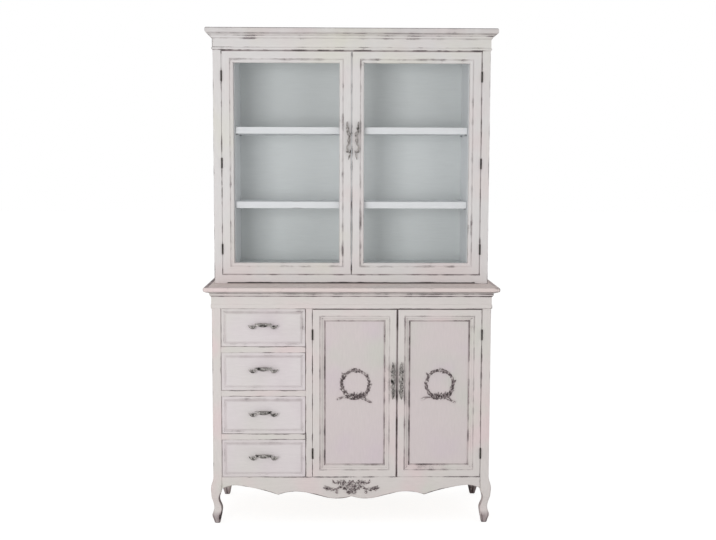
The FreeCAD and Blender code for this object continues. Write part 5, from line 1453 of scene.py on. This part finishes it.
# How far each handle stands to the right of the middle of its place, and its strands behind its front
SCROLL_SHIFT = {"left": 5, "right": 3}
SCROLL_DEPTH = 6.5
# Its posts: how far to one side of the knob they stand, their heights about it and their radius
SCROLL_POSTS = (5.4, (52, -44), 2.8)


class DRESSER_OT_hutch_pulls(bpy.types.Operator):
    """Casts the hutch doors' slender scrolled handles round a dark oval knob"""

    bl_idname = "dresser.hutch_pulls"
    bl_label = "Hutch door handles"

    def execute(self, context):
        for side, way in (("left", 1), ("right", -1)):
            node = f"{side}_glass_door_pull"
            low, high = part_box(node)
            x, z = (low.x + high.x) / 2 / MM + SCROLL_SHIFT[side], (low.z + high.z) / 2 / MM
            face, bar = high.y / MM, low.y / MM + SCROLL_DEPTH
            bm = bmesh.new()
            add_strands(bm, SCROLL_STRANDS, x, bar, z, way, flatness=0.85)
            add_bead(bm, (x, bar + 1.5, z), (5.6, 6.8, 9.4))
            aside, post_heights, radius = SCROLL_POSTS
            for b in post_heights:
                add_post(bm, x - way * aside, z + b, face, face - bar, radius)
            cast_piece(node, bm, context.scene.dresser_sizes.casting_grain * 0.8)
        return {"FINISHED"}


class DRESSER_OT_hinges(bpy.types.Operator):
    """Blackens the hinges and pins, and brightens the shelf pins"""

    bl_idname = "dresser.hinges"
    bl_label = "Hinges"

    def execute(self, context):
        for node, piece in frame["nodes"].items():
            if not piece.hide_render and ("hinge" in node or node == "shelf_pins"):
                steel = "bright_steel" if node == "shelf_pins" else "blackened_steel"
                piece.data.materials.clear()
                piece.data.materials.append(MATERIALS[steel])
        return {"FINISHED"}


# How much of the floor's look to the camera is plain white, and how bright that is
FLOOR_WHITE = (0.62, 1.36)
# The studio's even light, where 1 is what the camera sees of it
SKY_LEVEL = 0.57
# Square lamps aimed at the dresser's middle: name, place and width in metres, power in watts
LAMP_AIM = (0, 0, 1.0)
LAMPS = (("softbox", (-1.95, -4.4, 1.35), 1.9, 71), ("fill", (2.8, -4.7, 1.4), 2.0, 23))
# Lens and sensor in millimetres, the camera's place in metres, and its turns: aside, up and about its axis
LENS, SENSOR = 55.715, 36
CAMERA_PLACE = (-0.0607, -4.713, 1.489)
CAMERA_TURNS = (-1.09, 84.58, 0.18)


def pale_floor(colours):
    """A matt pale floor that the camera sees almost white."""
    share, strength = FLOOR_WHITE
    tree = new_material("pale_floor")
    ray = add(tree, "ShaderNodeLightPath").outputs
    seen = add(tree, "ShaderNodeMath", {0: ray["Is Camera Ray"], 1: share}, operation="MULTIPLY").outputs[0]
    matt = add(tree, "ShaderNodeBsdfDiffuse", {"Color": colours.floor})
    white = add(tree, "ShaderNodeEmission", {"Color": linear("#ffffff"), "Strength": strength})
    both = add(tree, "ShaderNodeMixShader", {0: seen, 1: matt.outputs[0], 2: white.outputs[0]})
    add(tree, "ShaderNodeOutputMaterial", {"Surface": both.outputs[0]})


def studio_world():
    """Even white light, brighter to the camera and in reflections than what it sheds."""
    world = bpy.data.worlds.new("studio")
    world.use_nodes = True
    tree = world.node_tree
    tree.nodes.clear()
    ray = add(tree, "ShaderNodeLightPath").outputs
    seen = ray["Is Camera Ray"]
    for kind in ("Is Glossy Ray", "Is Transmission Ray"):
        seen = add(tree, "ShaderNodeMath", {0: seen, 1: ray[kind]}, operation="MAXIMUM").outputs[0]
    level = add(tree, "ShaderNodeMapRange", {
        "Value": seen, "To Min": SKY_LEVEL, "To Max": 1.0}).outputs["Result"]
    sky = add(tree, "ShaderNodeBackground", {"Color": linear("#ffffff"), "Strength": level})
    add(tree, "ShaderNodeOutputWorld", {"Surface": sky.outputs[0]})
    return world


class DRESSER_OT_stage(bpy.types.Operator):
    """Sets up the floor, the light and the camera"""

    bl_idname = "dresser.stage"
    bl_label = "Stage"

    def execute(self, context):
        scene = context.scene
        scene.view_settings.view_transform = "Standard"

        bm = bmesh.new()
        bmesh.ops.create_grid(bm, x_segments=1, y_segments=1, size=30)
        mesh = bpy.data.meshes.new("floor")
        bm.to_mesh(mesh)
        bm.free()
        floor = bpy.data.objects.new("floor", mesh)
        scene.collection.objects.link(floor)
        pale_floor(scene.dresser_colours)
        mesh.materials.append(MATERIALS["pale_floor"])
        scene.world = studio_world()

        for name, place, size, energy in LAMPS:
            lamp = bpy.data.lights.new(name, "AREA")
            lamp.shape = "SQUARE"
            lamp.size = size
            lamp.energy = energy
            light = bpy.data.objects.new(name, lamp)
            light.location = place
            light.rotation_mode = "QUATERNION"
            light.rotation_quaternion = (Vector(LAMP_AIM) - light.location).to_track_quat("-Z", "Y")
            scene.collection.objects.link(light)

        lens = bpy.data.cameras.new("camera")
        lens.sensor_width = SENSOR
        lens.lens = LENS
        camera = bpy.data.objects.new("camera", lens)
        aside, up, roll = (Matrix.Rotation(math.radians(turn), 4, axis)
                           for turn, axis in zip(CAMERA_TURNS, "ZXZ"))
        camera.matrix_world = Matrix.Translation(CAMERA_PLACE) @ (aside @ up @ roll)
        scene.collection.objects.link(camera)
        scene.camera = camera
        return {"FINISHED"}


class DRESSER_PT_panel(bpy.types.Panel):
    """Lists the steps in the order in which they run"""

    bl_idname = "DRESSER_PT_panel"
    bl_label = "Dresser"
    bl_space_type = "VIEW_3D"
    bl_region_type = "UI"
    bl_category = "Dresser"

    def draw(self, context):
        for step in STEPS:
            self.layout.operator(step.bl_idname)
        for group in (context.scene.dresser_sizes, context.scene.dresser_colours):
            for key in group.__annotations__:
                self.layout.prop(group, key)


STEPS = (DRESSER_OT_finishes, DRESSER_OT_carcase, DRESSER_OT_mouldings, DRESSER_OT_doors, DRESSER_OT_drawers,
         DRESSER_OT_legs, DRESSER_OT_wreaths, DRESSER_OT_carving, DRESSER_OT_drawer_pulls,
         DRESSER_OT_door_pulls, DRESSER_OT_hutch_pulls, DRESSER_OT_hinges, DRESSER_OT_stage)
CLASSES = (DresserColours, DresserSizes, *STEPS, DRESSER_PT_panel)


def register():
    for cls in CLASSES:
        bpy.utils.register_class(cls)
    bpy.types.Scene.dresser_sizes = bpy.props.PointerProperty(type=DresserSizes)
    bpy.types.Scene.dresser_colours = bpy.props.PointerProperty(type=DresserColours)


def unregister():
    del bpy.types.Scene.dresser_colours
    del bpy.types.Scene.dresser_sizes
    for cls in reversed(CLASSES):
        bpy.utils.unregister_class(cls)


def main():
    """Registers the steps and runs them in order."""
    register()
    for step in STEPS:
        space, name = step.bl_idname.split(".")
        getattr(getattr(bpy.ops, space), name)()


if __name__ == "__main__":
    main()
